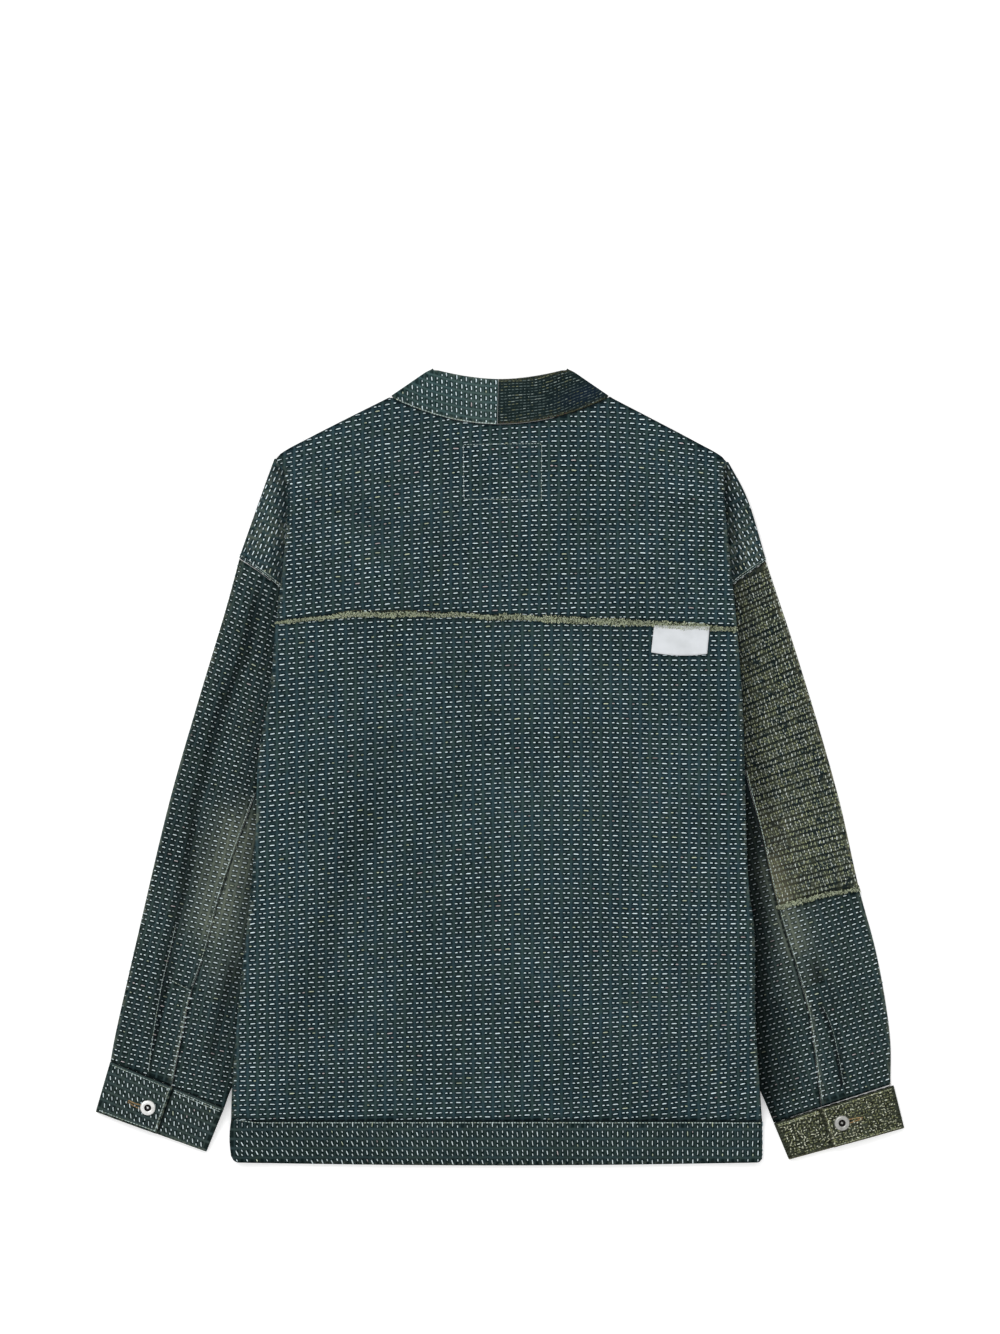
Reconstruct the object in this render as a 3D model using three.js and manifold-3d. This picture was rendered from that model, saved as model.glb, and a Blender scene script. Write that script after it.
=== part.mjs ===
// A patched work jacket of running-stitched cotton, laid flat on its front with its back up.
// Millimetres, +Z up, +Y towards the collar. The floor is z = 0, and the wearer's left is at -X.
// Each piece that a maker cuts is one closed wall of cloth, built from the points of its middle
// surface. The arms are drawn down, so each side of the body folds under itself and holds the
// sleeve between its two folds.

import * as THREE from 'three';
import Module from 'manifold-3d';

const wasm = await Module();
wasm.setup();
const { lerp, smoothstep } = THREE.MathUtils;

// Cloth
const CLOTH = 1.6; // one layer of the body cloth
const BAND = 2.4; // collar, cuffs and hem band: cloth doubled and pressed
const TRIM = 1; // plackets, label and frayed edges
const TURN = 1.1; // radius of a fold, to the middle of the cloth
const BAND_TURN = 1.5; // the same for a band
const REST = 0.4; // air between layers that only lie on each other
const SEAM = 0.3; // gap between pieces that are sewn to each other

// Heights of the middles of the layers
const FRONT_Z = CLOTH / 2;
const FRONT_TUCK_Z = FRONT_Z + 2 * TURN;
const SLEEVE_LIFT = FRONT_TUCK_Z + CLOTH + REST - FRONT_Z; // how far the body's fold lifts a sleeve
const SLEEVE_Z = FRONT_Z + TURN; // middle of a flat sleeve on the floor
const BACK_TUCK_Z = SLEEVE_Z + TURN + SLEEVE_LIFT + CLOTH + REST;
const BACK_RAISED_Z = BACK_TUCK_Z + 2 * TURN; // the back over a sleeve
const BACK_HEM_Z = FRONT_TUCK_Z + CLOTH + REST + 2 * TURN; // the back at the side of the hem
const BACK_Z = BAND + REST + CLOTH / 2; // the back over the front bands

// Body
const HEM_Y = -337; // seam of the hem band
const BOTTOM_Y = -379;
const NECK_Y = 324.5; // lowest point of the neck seam
const NECK_CURVE = 0.0024; // its rise, per square of the distance from the middle
const NECK_X = 105; // where the neck seam meets the shoulders
const COLLAR_TOP_Y = 367.2; // free edge of the collar at the nape
const COLLAR_FOLD = { neck: [101.7, 349.6], top: [63.4, 376.8] }; // where it folds to the front
const NAPE_X = -2.5; // seam between the two cloths of the collar
const SLOPE = 45; // width of the slope where the back drops off a sleeve
const SLOPE_MARGIN = 15; // how far the slope's top stays clear of the layers under it
const UNDERARM = [66.5, 43.7];
const TUCK_MARGIN = 6; // how far the side folds reach in past the sleeve
const HEM_TUCK = 3; // and how far in from the edge at the hem
const FOLD_START = 30; // the side fold is fully formed this far below the shoulder point
const SLEEVE_FALL = [10, 42]; // distances from the body over which a sleeve falls to the floor
const CUFF_RUN = 28; // the back rises over the sleeves within this distance above the hem
const CUFF_FALL = 32; // and the sleeves go down to the floor within this one
const TUCK_RUN = 60; // the side folds reach their full depth this far above the hem

// Outlines, as distances from the middle line. The two sides differ, as cloth laid by hand does.
const SIDES = [
  {
    name: 'left',
    sign: -1,
    shoulder: [[NECK_X, 350], [184, 310], [206, 298], [214, 292]], // x, y
    fold: [
      [-337, 255.5], [-309, 254.5], [-213, 247], [-118, 236.5], [-60, 232], [12, 229],
      [72, 218.5], [135, 213], [200, 205], [253, 201.5], [274, 203], [292, 214],
    ], // y, x of the folded edge of the body
    shoulderEdge: [[214, 292], [247.5, 197.5]],
    armhole: [[247.5, 197.5], [230, 186], [206, 167], [140, 110], UNDERARM],
    sleeveEdge: [
      [247.5, 197], [259, 154], [286, 64], [313, -30], [343, -156], [366, -258], [370, -280],
    ],
    sleeveInside: [UNDERARM, [165, -145], [254.5, -306], [261.5, -324.5]],
    backSeam: [
      [-305, 312], [-251, 301], [-212, 292.5], [-182, 282],
      [-122, 266], [-16, 229], [60, 203], [130, 150],
    ], // y, x
    cuffTop: [[370.3, -280.8], [261.8, -325.3]], // outer and inner corner
    cuffBottom: [[384, -328], [278.4, -366]],
    cuffOverlap: 0.55, // the lapped end, as a share of the width from the outer edge
    button: [334, -324],
  },
  {
    name: 'right',
    sign: 1,
    shoulder: [[NECK_X, 350], [190, 305.5], [208, 295.5], [216.5, 289]],
    fold: [
      [-337, 249], [-311, 247], [-240, 242.5], [-150, 241], [-118, 236.5], [-32, 233],
      [47, 231], [130, 225], [207, 217.5], [256, 212.5], [278, 212], [289, 216.5],
    ],
    shoulderEdge: [[216.5, 289], [234, 255], [252.5, 195]],
    armhole: [[252.5, 195], [231, 180], [206, 160], [140, 111], UNDERARM],
    sleeveEdge: [
      [252.5, 194.5], [283, 102], [321, -28], [341, -116], [358, -180], [370.5, -258], [371, -302.2],
    ],
    sleeveInside: [UNDERARM, [165, -145], [247.5, -310], [259.5, -338.5]],
    backSeam: [[-320, 305], [-228, 291.5], [-134, 264], [-37, 241], [60, 210], [130, 160]],
    cuffTop: [[374, -303.4], [259.8, -339.4]],
    cuffBottom: [[384, -343.5], [274, -373.5]],
    cuffOverlap: 0.615,
    button: [324.3, -338.5],
  },
];
const YOKE_SEAM = [[-213, 137], [-150, 144], [-90, 145.5], [0, 143], [100, 138.5], [225, 131.5]];
const PATCH_EDGE = [[240, -140], [273, -131], [307, -121], [341, -116]]; // raw edge of the olive
const BAND_SEAM = [[-379, 45], [95, 45], [155, 52.5], [255, 78], [349.6, 101.7]]; // y, x on a front
const BAND_OPENING = [[-379, 0.15], [110, 0.15], [165, 10], [275, 37], [376.8, 63.4]];
const LABEL_TOP = [[146, 129.2], [198.4, 127.9]];
const LABEL_BOTTOM = [[143, 107.5], [195.7, 105.5]];
const LABEL_SAG = 1.5; // how far its free lower edge hangs in the middle
const YOKE_FRAY = [2, -5]; // reach of the yoke's frayed edge above and below its seam
const PATCH_FRAY = [2, -4];
const PLACKET = 25; // width of the strip over a cuff's slit
const PLACKET_TOP = -212;
const PLACKET_END = 0.996; // share of the sleeve's length at which it stops, clear of the cuff
const UNDERLAP = 22; // how far a cuff's hidden end reaches under its buttoned end
const BUTTON_R = 7.3;
const BUTTON_SIDES = 18;

// ---- Curves ----

// A smooth function through [input, output] pairs in ascending order of input.
function through(pairs) {
  const slope = (i, j) => (pairs[j][1] - pairs[i][1]) / (pairs[j][0] - pairs[i][0]);
  const last = pairs.length - 1;
  const tangent = (i) => {
    if (i === 0 || i === last) return i ? slope(last - 1, last) : slope(0, 1);
    const [before, after] = [slope(i - 1, i), slope(i, i + 1)];
    return before * after > 0 ? (before + after) / 2 : 0;
  };
  return (x) => {
    const inside = THREE.MathUtils.clamp(x, pairs[0][0], pairs[last][0]);
    let i = 0;
    while (i < last - 1 && inside > pairs[i + 1][0]) i++;
    const width = pairs[i + 1][0] - pairs[i][0];
    const t = (inside - pairs[i][0]) / width;
    const start = pairs[i][1] + tangent(i) * width * t * (1 - t) * (1 - t);
    const end = -tangent(i + 1) * width * t * t * (1 - t);
    return start + end + (pairs[i + 1][1] - pairs[i][1]) * t * t * (3 - 2 * t);
  };
}

function curve(points) {
  const places = points.map(([x, y]) => new THREE.Vector3(x, y, 0));
  return new THREE.CatmullRomCurve3(places, false, 'centripetal');
}

for (const side of SIDES) {
  side.foldX = through(side.fold);
  side.shoulderY = through(side.shoulder);
  side.seamX = through(side.backSeam);
  side.pointOfShoulder = side.shoulder.at(-1);
  side.shoulderCurve = curve(side.shoulderEdge);
  side.armholeCurve = curve(side.armhole);
  side.outerCurve = curve(side.sleeveEdge);
  side.innerCurve = curve(side.sleeveInside);
}
const yokeSeamY = through(YOKE_SEAM);
const patchEdgeY = through(PATCH_EDGE);
const bandSeamX = through(BAND_SEAM);
const openingX = through(BAND_OPENING);
const sideOf = (x) => SIDES[x < 0 ? 0 : 1];

// ---- Heights of the cloth, as functions of the place on the floor ----

// How far the hidden side folds reach in at y: up to the shoulder point and down to the hem.
function tuckX(side, y) {
  const [armX, armY] = UNDERARM;
  const [topX, topY] = side.pointOfShoulder;
  const hemX = side.foldX(HEM_Y) - HEM_TUCK;
  const reach = y > armY
    ? lerp(armX, topX, (y - armY) / (topY - armY))
    : lerp(armX, hemX, (armY - y) / (armY - HEM_Y));
  return reach - TUCK_MARGIN * smoothstep(y, HEM_Y, HEM_Y + TUCK_RUN);
}

const foldFormed = (side, y) => smoothstep(side.pointOfShoulder[1] - y, 0, FOLD_START);

function backLevel(x, y) {
  const side = sideOf(x);
  const inner = tuckX(side, y) - SLOPE_MARGIN;
  const overSleeve = smoothstep(y, HEM_Y, HEM_Y + CUFF_RUN);
  const raised = lerp(BACK_HEM_Z, BACK_RAISED_Z, overSleeve);
  const slope = smoothstep(Math.abs(x), inner - SLOPE, inner) * foldFormed(side, y);
  return lerp(BACK_Z, raised, slope);
}

// Middle of a flat sleeve: it rides over the fold of the front and falls to the floor outside it.
function sleeveLevel(side, x, y) {
  const outside = Math.abs(x) - side.foldX(y);
  const over = 1 - smoothstep(outside, ...SLEEVE_FALL);
  return SLEEVE_Z + SLEEVE_LIFT * over * smoothstep(y, BOTTOM_Y, HEM_Y + CUFF_FALL);
}

// ---- Walls of cloth ----

// rows[j][i] is a point of the middle surface, or null where the grid has no cloth.
function wall(rows, thickness) {
  const points = [];
  const ids = rows.map((row) => row.map((p) => (p ? points.push(p) - 1 : -1)));
  const quads = [];
  for (let j = 0; j + 1 < rows.length; j++) {
    for (let i = 0; i + 1 < rows[j].length; i++) {
      const quad = [ids[j][i], ids[j][i + 1], ids[j + 1][i + 1], ids[j + 1][i]];
      if (Math.min(...quad) >= 0) quads.push(quad);
    }
  }
  const normals = points.map(() => new THREE.Vector3());
  for (const quad of quads) {
    const [a, b, c, d] = quad.map((id) => points[id]);
    const normal = c.clone().sub(a).cross(d.clone().sub(b)).normalize();
    quad.forEach((id) => normals[id].add(normal));
  }
  const used = new Set(quads.flat());
  const renumbered = new Map([...used].map((id, k) => [id, k]));
  const positions = [];
  for (const half of [thickness / 2, -thickness / 2]) {
    for (const id of used) {
      const p = points[id].clone().addScaledVector(normals[id].clone().normalize(), half);
      positions.push(p.x, p.y, p.z);
    }
  }
  const under = used.size;
  const triangles = [];
  const face = (a, b, c, d) => triangles.push(a, b, c, a, c, d);
  const edges = new Set();
  for (const quad of quads) quad.forEach((id, k) => edges.add(`${id},${quad[(k + 1) % 4]}`));
  for (const quad of quads) {
    const [a, b, c, d] = quad.map((id) => renumbered.get(id));
    face(a, b, c, d);
    face(a + under, d + under, c + under, b + under);
    quad.forEach((id, k) => {
      const next = quad[(k + 1) % 4];
      if (edges.has(`${next},${id}`)) return;
      const [from, to] = [renumbered.get(id), renumbered.get(next)];
      face(to, from, from + under, to + under);
    });
  }
  return solid(positions, triangles);
}

function solid(positions, triangles) {
  const geometry = new THREE.BufferGeometry();
  geometry.setAttribute('position', new THREE.Float32BufferAttribute(positions, 3));
  geometry.setIndex(triangles);
  geometry.computeVertexNormals();
  return geometry;
}

function joined(geometries) {
  const whole = geometries.map((geometry) => new wasm.Manifold(new wasm.Mesh({
    numProp: 3,
    vertProperties: new Float32Array(geometry.attributes.position.array),
    triVerts: new Uint32Array(geometry.index.array),
  }))).reduce((all, next) => all.add(next));
  const mesh = whole.getMesh();
  return solid([...mesh.vertProperties], [...mesh.triVerts]);
}

// Both sides are laid out with x as the distance from the middle line, and then put in place.
const placed = (side, rows) =>
  rows.map((row) => row.map((p) => p && new THREE.Vector3(p.x * side.sign, p.y, p.z)));

const steps = (count) => Array.from({ length: count + 1 }, (_, i) => i / count);

// ---- Materials ----

const finish = (color, roughness = 0.95, metalness = 0) =>
  new THREE.MeshStandardMaterial({ color, roughness, metalness });
const INDIGO = finish('#2b4248');
const INDIGO_DARK = finish('#25353a');
const OLIVE = finish('#5a5c43');
const FRAYED = finish('#8a8660');
const WHITE_TAPE = finish('#dfe3e6', 0.7);
const BRIGHT_METAL = finish('#c9c9c4', 0.35, 1);
const DULL_METAL = finish('#8f908c', 0.45, 1);

const jacket = new THREE.Group();
jacket.name = 'patched_boro_jacket';

function piece(name, geometry, material) {
  const mesh = new THREE.Mesh(geometry, material);
  mesh.name = name;
  jacket.add(mesh);
  return mesh;
}

// ---- Back: yoke and lower panel ----

// The turn of a side fold and the layer under it, from the edge in. up is +1 where the cloth
// folds under, and -1 where it folds over.
const TURN_STEPS = 3;
const TUCK_STEPS = 2;
const SAME = 0.01; // distances below this count as none
const aboveFold = (side, y) => y > side.pointOfShoulder[1] - FOLD_START + SAME;
const foldReach = (side, y) => side.foldX(y) - CLOTH / 2 - TURN;

function foldedUnder(side, y, level, up) {
  const edge = foldReach(side, y);
  const turn = steps(TURN_STEPS).slice(1).map((t) => new THREE.Vector3(
    edge + TURN * Math.sin(t * Math.PI),
    y,
    level(edge, y) - up * TURN * (1 - Math.cos(t * Math.PI)),
  ));
  const tuck = steps(TUCK_STEPS).slice(1).map((t) => {
    const x = lerp(edge, tuckX(side, y), t);
    return new THREE.Vector3(x, y, level(x, y) - up * 2 * TURN);
  });
  return [...turn, ...tuck];
}

const BACK_COLUMNS = 24;

// One row of the back, from the wearer's left to the right. t runs from its lower to its upper seam.
function backRow(t, lower, upper) {
  const edges = SIDES.map((side) => {
    const corner = side.sign * side.pointOfShoulder[0];
    const y = lerp(lower(corner), upper(corner), t);
    return { side, y, x: foldReach(side, y) };
  });
  const across = steps(BACK_COLUMNS).map((s) => {
    const x = lerp(-edges[0].x, edges[1].x, s);
    const y = lerp(lower(x), upper(x), t);
    return new THREE.Vector3(x, y, backLevel(x, y));
  });
  across[0].y = edges[0].y;
  across.at(-1).y = edges[1].y;
  const folds = edges.map(({ side, y }) => {
    const level = (x, at) => backLevel(side.sign * x, at);
    const open = aboveFold(side, y);
    return foldedUnder(side, y, level, 1).map((p) => (open ? null : p.setX(p.x * side.sign)));
  });
  return [...folds[0].reverse(), ...across, ...folds[1]];
}

function topOfBack(x) {
  const away = Math.abs(x);
  return away < NECK_X ? NECK_Y + NECK_CURVE * x * x : sideOf(x).shoulderY(away);
}

// The dropped shoulder: a wedge of the same cloth, from the shoulder point down to the armhole.
// It leaves the panel at the shoulder and goes in under its fold, beside the sleeve.
const DROP_START = 0.02;
const DROP_ROWS = 7;
const DROP_COLUMNS = 6;
const DROP_CROWDING = 1.3; // power that brings the rows closer together at the shoulder
const UNDER_PANEL = 8; // how far the wedge reaches in under the panel's edge at the shoulder

function droppedShoulder(side, panelZ, layer) {
  const [pointX, pointY] = side.pointOfShoulder;
  const rows = steps(DROP_ROWS).map((t) => {
    const along = lerp(DROP_START, 1, t ** DROP_CROWDING);
    const innerY = lerp(pointY, UNDERARM[1], along);
    const underPanel = side.foldX(innerY) - UNDER_PANEL;
    const inner = [Math.min(lerp(pointX, UNDERARM[0], along), underPanel), innerY];
    return steps(DROP_COLUMNS).map((across) => {
      const outer = side.shoulderCurve.getPointAt(along);
      const hem = side.armholeCurve.getPointAt(1 - across);
      const ends = side.armholeCurve.getPointAt(0);
      const x = lerp(inner[0], outer.x, across) + along * (hem.x - lerp(UNDERARM[0], ends.x, across));
      const y = lerp(inner[1], outer.y, across) + along * (hem.y - lerp(UNDERARM[1], ends.y, across));
      const tucked = sleeveLevel(side, x, y) + layer * TURN;
      return new THREE.Vector3(x, y + SEAM * along, lerp(panelZ, tucked, foldFormed(side, y)));
    });
  });
  return wall(placed(side, rows), CLOTH);
}

const DROP_STEP = 0.2; // where the two join, the wedge's face is this far inside the panel's
const YOKE_SHARES = [0, 0.2, 0.4, 0.55, 0.7, 0.81, 0.87, 0.93, 1];
const PANEL_SHARES = [0, 0.06, 0.13, 0.3, 0.45, 0.6, 0.75, 0.87, 0.96, 1];
const yokeRows = YOKE_SHARES.map((t) => backRow(t, yokeSeamY, topOfBack));
piece('back_yoke', joined([
  wall(yokeRows, CLOTH),
  ...SIDES.map((side) => droppedShoulder(side, BACK_Z - DROP_STEP, 1)),
]), INDIGO);

const belowYoke = (x) => yokeSeamY(x) - SEAM;
const hemSeam = () => HEM_Y;
const panelRows = PANEL_SHARES.map((t) => backRow(t, hemSeam, belowYoke));
piece('back_panel', wall(panelRows, CLOTH), INDIGO);

// ---- Fronts ----

const FRONT_COLUMNS = 6;
const FRONT_SHARES = [0, 0.2, 0.4, 0.6, 0.75, 0.9, 0.952, 0.98, 1];

function frontRow(side, t) {
  const seamY = lerp(HEM_Y, COLLAR_FOLD.neck[1], t);
  const y = lerp(HEM_Y, side.pointOfShoulder[1], t);
  const seamX = bandSeamX(seamY) + 2 * SEAM;
  const across = steps(FRONT_COLUMNS).map((s) =>
    new THREE.Vector3(lerp(seamX, foldReach(side, y), s), lerp(seamY, y, s), FRONT_Z));
  const open = aboveFold(side, y);
  const fold = foldedUnder(side, y, () => FRONT_Z, -1).map((p) => (open ? null : p));
  return [...across, ...fold];
}

for (const side of SIDES) {
  const rows = FRONT_SHARES.map((t) => frontRow(side, t));
  piece(`front_${side.name}`, joined([
    wall(placed(side, rows), CLOTH),
    droppedShoulder(side, FRONT_Z + DROP_STEP, -1),
  ]), INDIGO);
}

// ---- Sleeves: flat tubes, each of an outer and an under piece ----

// A place on a sleeve: s runs from the armhole to the cuff, and a from the outer edge to the inside
// edge. The angle is the turn about the nearer edge: 90 degrees on top and -90 underneath.
const EDGE = CLOTH / 2 + TURN;
const CLOSE = 1e-9; // searches stop when they are this close
const BULGE = 5; // share of the sleeve, 1 / BULGE, over which its rows follow the armhole's curve

function sleevePlace(side, s, a) {
  const outer = side.outerCurve.getPointAt(s);
  const inner = side.innerCurve.getPointAt(s);
  const across = inner.clone().sub(outer).normalize();
  const start = outer.clone().addScaledVector(across, EDGE);
  const end = inner.clone().addScaledVector(across, -EDGE);
  const armhole = side.armholeCurve.getPointAt(a);
  const straight = side.armholeCurve.getPointAt(0).lerp(side.armholeCurve.getPointAt(1), a);
  const bulge = armhole.sub(straight).multiplyScalar(Math.max(0, 1 - s * BULGE));
  return { place: start.lerp(end, a).add(bulge), across };
}

function sleevePoint(side, s, a, angle) {
  const { place, across } = sleevePlace(side, s, a);
  const middle = sleeveLevel(side, place.x, place.y);
  place.addScaledVector(across, (a > 0.5 ? 1 : -1) * TURN * Math.cos(angle));
  return place.setZ(middle + TURN * Math.sin(angle));
}

// The share at which a condition that holds from 0 on stops holding.
function lastShare(holds) {
  let [low, high] = [0, 1];
  while (high - low > CLOSE) {
    const middle = (low + high) / 2;
    if (holds(middle)) low = middle;
    else high = middle;
  }
  return low;
}

// Where the back seam crosses the sleeve at s, as a share of its width.
const seamShare = (side, s) => lastShare((a) => {
  const { place } = sleevePlace(side, s, a);
  return place.x > side.seamX(place.y);
});

const SLEEVE_COLUMNS = 5;
const HALF_TURN = [45, 0, -45].map(THREE.MathUtils.degToRad); // from the top round to the bottom
const widthAt = (side, s) =>
  side.outerCurve.getPointAt(s).distanceTo(side.innerCurve.getPointAt(s));

// One row round a sleeve piece, as functions of s: from the seam underneath, round the turned
// edge, to the back seam on top. edge is 0 for the outer piece and 1 for the under piece.
function sleeveColumns(side, edge) {
  const seam = (s) => seamShare(side, s) + (edge ? 1 : -1) * SEAM / 2 / widthAt(side, s);
  const flat = (layer, t) => (s) =>
    sleevePoint(side, s, lerp(edge, seam(s), t), layer * Math.PI / 2);
  const shares = steps(SLEEVE_COLUMNS);
  return [
    ...shares.toReversed().map((t) => flat(-1, t)),
    ...HALF_TURN.toReversed().map((angle) => (s) => sleevePoint(side, s, edge, angle)),
    ...shares.map((t) => flat(1, t)),
  ];
}

const sleeveRows = (side, edge, places) => {
  const columns = sleeveColumns(side, edge);
  return places.map((s) => columns.map((at) => at(s)));
};
const ARMHOLE = 0.0005; // where a sleeve starts, clear of its neighbours
const CUFF = 1; // and where it ends
const PATCH_ROWS = 8;
const LOWER_ROWS = 5;
const LEFT_ROWS = 12;
const [left, right] = SIDES;
const sleeveWall = (side, rows) => wall(placed(side, rows), CLOTH);

// Where a column of the right sleeve crosses the raw edge of the olive cloth, plus a distance.
const patchEnd = (column, beyond) => lastShare((s) => {
  const place = column(s);
  return place.y > patchEdgeY(place.x) + beyond;
});

// The right sleeve's outer piece is in two cloths, the olive one above with its lower edge raw.
const outerColumns = sleeveColumns(right, 0);
const stretch = (from, to, count) => steps(count).map((t) => lerp(from, to, t));
const between = (from, to, count) =>
  steps(count).map((t) => outerColumns.map((at) => at(lerp(from(at), to(at), t))));
piece('sleeve_right_patch',
  sleeveWall(right, between(() => ARMHOLE, (at) => patchEnd(at, 0), PATCH_ROWS)), OLIVE);
piece('sleeve_right_outer',
  sleeveWall(right, between((at) => patchEnd(at, -SEAM), () => CUFF, LOWER_ROWS)), INDIGO);

const patchEndAtSeam = patchEnd(outerColumns[0], 0);
const rightPlaces = [
  ...stretch(ARMHOLE, patchEndAtSeam, PATCH_ROWS),
  ...stretch(patchEndAtSeam, CUFF, LOWER_ROWS).slice(1),
];
piece('sleeve_right_under', sleeveWall(right, sleeveRows(right, 1, rightPlaces)), INDIGO);
const leftPlaces = stretch(ARMHOLE, CUFF, LEFT_ROWS);
piece('sleeve_left_outer', sleeveWall(left, sleeveRows(left, 0, leftPlaces)), INDIGO);
piece('sleeve_left_under', sleeveWall(left, sleeveRows(left, 1, leftPlaces)), INDIGO);

// ---- Trims that lie on the cloth: plackets, frayed edges and the label ----

const ON_CLOTH = CLOTH / 2 + SEAM + TRIM / 2; // from the middle of the cloth to a trim's middle
const onSleeve = (side, s, a) => {
  const point = sleevePoint(side, s, a, Math.PI / 2);
  return point.setZ(point.z + ON_CLOTH);
};

const PLACKET_ROWS = 5;
const TRIM_COLUMNS = 2;

for (const side of SIDES) {
  const top = lastShare((s) => sleevePlace(side, s, seamShare(side, s)).place.y > PLACKET_TOP);
  const rows = steps(PLACKET_ROWS).map((t) => {
    const s = lerp(top, PLACKET_END, t);
    return steps(TRIM_COLUMNS).map((across) => {
      const a = seamShare(side, s) - (PLACKET / widthAt(side, s)) * across;
      return onSleeve(side, s, a);
    });
  });
  piece(`placket_${side.name}`, wall(placed(side, rows), TRIM), INDIGO_DARK);
}

const patchFray = outerColumns.slice(-SLEEVE_COLUMNS - 1).map((at) => PATCH_FRAY.map((reach) => {
  const point = at(patchEnd(at, reach));
  return point.setZ(point.z + ON_CLOTH);
}));
piece('patch_fray', wall(placed(right, patchFray), TRIM), FRAYED);

const FRAY_LIFT = 0.5; // the frayed edge stands this much prouder than a flat trim
const onBack = (x, y, lift = 0) => new THREE.Vector3(x, y, backLevel(x, y) + ON_CLOTH + lift);
const frayRows = YOKE_FRAY.map((reach) => steps(BACK_COLUMNS).map((s) => {
  const [from, to] = SIDES.map((side) => side.sign * foldReach(side, YOKE_SEAM[0][1]));
  const x = lerp(from, to, s);
  return onBack(x, yokeSeamY(x) + reach, FRAY_LIFT);
}));
piece('yoke_fray', wall(frayRows, TRIM), FRAYED);

const LABEL_ROWS = 3;
const LABEL_COLUMNS = 4;
const labelRows = steps(LABEL_ROWS).map((t) => steps(LABEL_COLUMNS).map((s) => {
  const side = (k, axis) => lerp(LABEL_TOP[k][axis], LABEL_BOTTOM[k][axis], t);
  const [x, y] = [0, 1].map((axis) => lerp(side(0, axis), side(1, axis), s));
  return onBack(x, y - LABEL_SAG * t * 4 * s * (1 - s));
}));
piece('label', wall(labelRows, TRIM), WHITE_TAPE);

// ---- Collar, hem band and cuffs: doubled cloth ----

const BAND_Z = BAND / 2;
const BAND_TOP_Z = BAND_Z + 2 * BAND_TURN;
const BAND_ACROSS = 2; // columns across a collar or hem band
const NAPE_ROWS = 6;
const BAND_ROWS = 12;
const COLLAR_DIP = 1.8; // power by which the collar's free edge dips at the nape

// Each half runs from the nape to the slanted fold at the shoulder, turns under there, and goes
// down the edge of its front to the bottom.
function collarRows(side) {
  const nape = side.sign * NAPE_X + SEAM / 2;
  const [neckX, neckY] = COLLAR_FOLD.neck;
  const [topX, topY] = COLLAR_FOLD.top;
  const across = (seam, free, z) => steps(BAND_ACROSS).map((v) =>
    new THREE.Vector3(lerp(seam[0], free[0], v), lerp(seam[1], free[1], v), z));
  const napeRows = steps(NAPE_ROWS).map((t) => {
    const [x, edgeX] = [lerp(nape, neckX, t), lerp(nape, topX, t)];
    const seamY = Math.min(NECK_Y + NECK_CURVE * x * x + SEAM, neckY);
    const edgeY = lerp(COLLAR_TOP_Y, topY, (Math.abs(edgeX) / topX) ** COLLAR_DIP);
    return across([x, seamY], [edgeX, edgeY], BAND_TOP_Z);
  });
  const fold = new THREE.Vector2(neckX - topX, neckY - topY).normalize();
  const outward = new THREE.Vector3(-fold.y, fold.x, 0);
  const turnRows = HALF_TURN.map((angle) => across([neckX, neckY], [topX, topY], BAND_Z + BAND_TURN)
    .map((p) => p.addScaledVector(outward, BAND_TURN * Math.cos(angle))
      .setZ(p.z + BAND_TURN * Math.sin(angle))));
  const frontRows = steps(BAND_ROWS).map((t) => {
    const [y, freeY] = [lerp(neckY, BOTTOM_Y, t), lerp(topY, BOTTOM_Y, t)];
    return across([bandSeamX(y), y], [openingX(freeY), freeY], BAND_Z);
  });
  return [...napeRows, ...turnRows, ...frontRows];
}
piece('collar_left', wall(placed(left, collarRows(left)), BAND), INDIGO);
piece('collar_right', wall(placed(right, collarRows(right)), BAND), INDIGO_DARK);

// The hem band goes from one front edge, round the side, along the back and round again.
const HEM_RISE = 3; // how much higher its lower edge is at the sides than in the middle
const HEM_SLOPE = 60; // width over which it climbs to the thicker sides
const HEM_BACK_COLUMNS = 8;
const HEM_FRONT_COLUMNS = 5;
const LEVEL_STEP = 0.1; // keeps its inside turn a little tighter than the folds above it
const HEM_SIDE_TURN = (BACK_HEM_Z - BAND_Z - BAND / 2 + CLOTH / 2) / 2 - LEVEL_STEP;
const HEM_MIDDLE_Z = BAND_TOP_Z - SEAM;

function hemBandHalf(side, t) {
  const edge = side.foldX(HEM_Y) - BAND / 2 - HEM_SIDE_TURN;
  const at = (x, z) => {
    const rise = HEM_RISE * (x / edge) ** 2;
    return new THREE.Vector3(x, lerp(HEM_Y - SEAM, BOTTOM_Y + rise, t), z);
  };
  const backZ = (x) =>
    lerp(HEM_MIDDLE_Z, BAND_Z + 2 * HEM_SIDE_TURN, smoothstep(x, edge - HEM_SLOPE, edge));
  const back = steps(HEM_BACK_COLUMNS).slice(1).map((s) => at(edge * s, backZ(edge * s)));
  const turn = HALF_TURN.map((angle) =>
    at(edge + HEM_SIDE_TURN * Math.cos(angle), BAND_Z + HEM_SIDE_TURN * (1 + Math.sin(angle))));
  const front = steps(HEM_FRONT_COLUMNS).map((s) =>
    at(lerp(edge, bandSeamX(HEM_Y) + SEAM, s), BAND_Z));
  return [...back, ...turn, ...front].map((p) => p.setX(p.x * side.sign));
}
const middleOfHem = (t) => new THREE.Vector3(0, lerp(HEM_Y - SEAM, BOTTOM_Y, t), HEM_MIDDLE_Z);
const hemRows = steps(BAND_ACROSS).map((t) =>
  [...hemBandHalf(left, t).reverse(), middleOfHem(t), ...hemBandHalf(right, t)]);
piece('hem_band', wall(hemRows, BAND), INDIGO);

// A cuff winds once round the sleeve's end and laps over its own hidden end, where it buttons.
const COVER = BAND + SEAM;
const COVER_CLEAR = 0.08; // the lapped end is fully raised this share of the width before that
const CUFF_ROWS = 3;
const CUFF_COLUMNS = 5;

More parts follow.
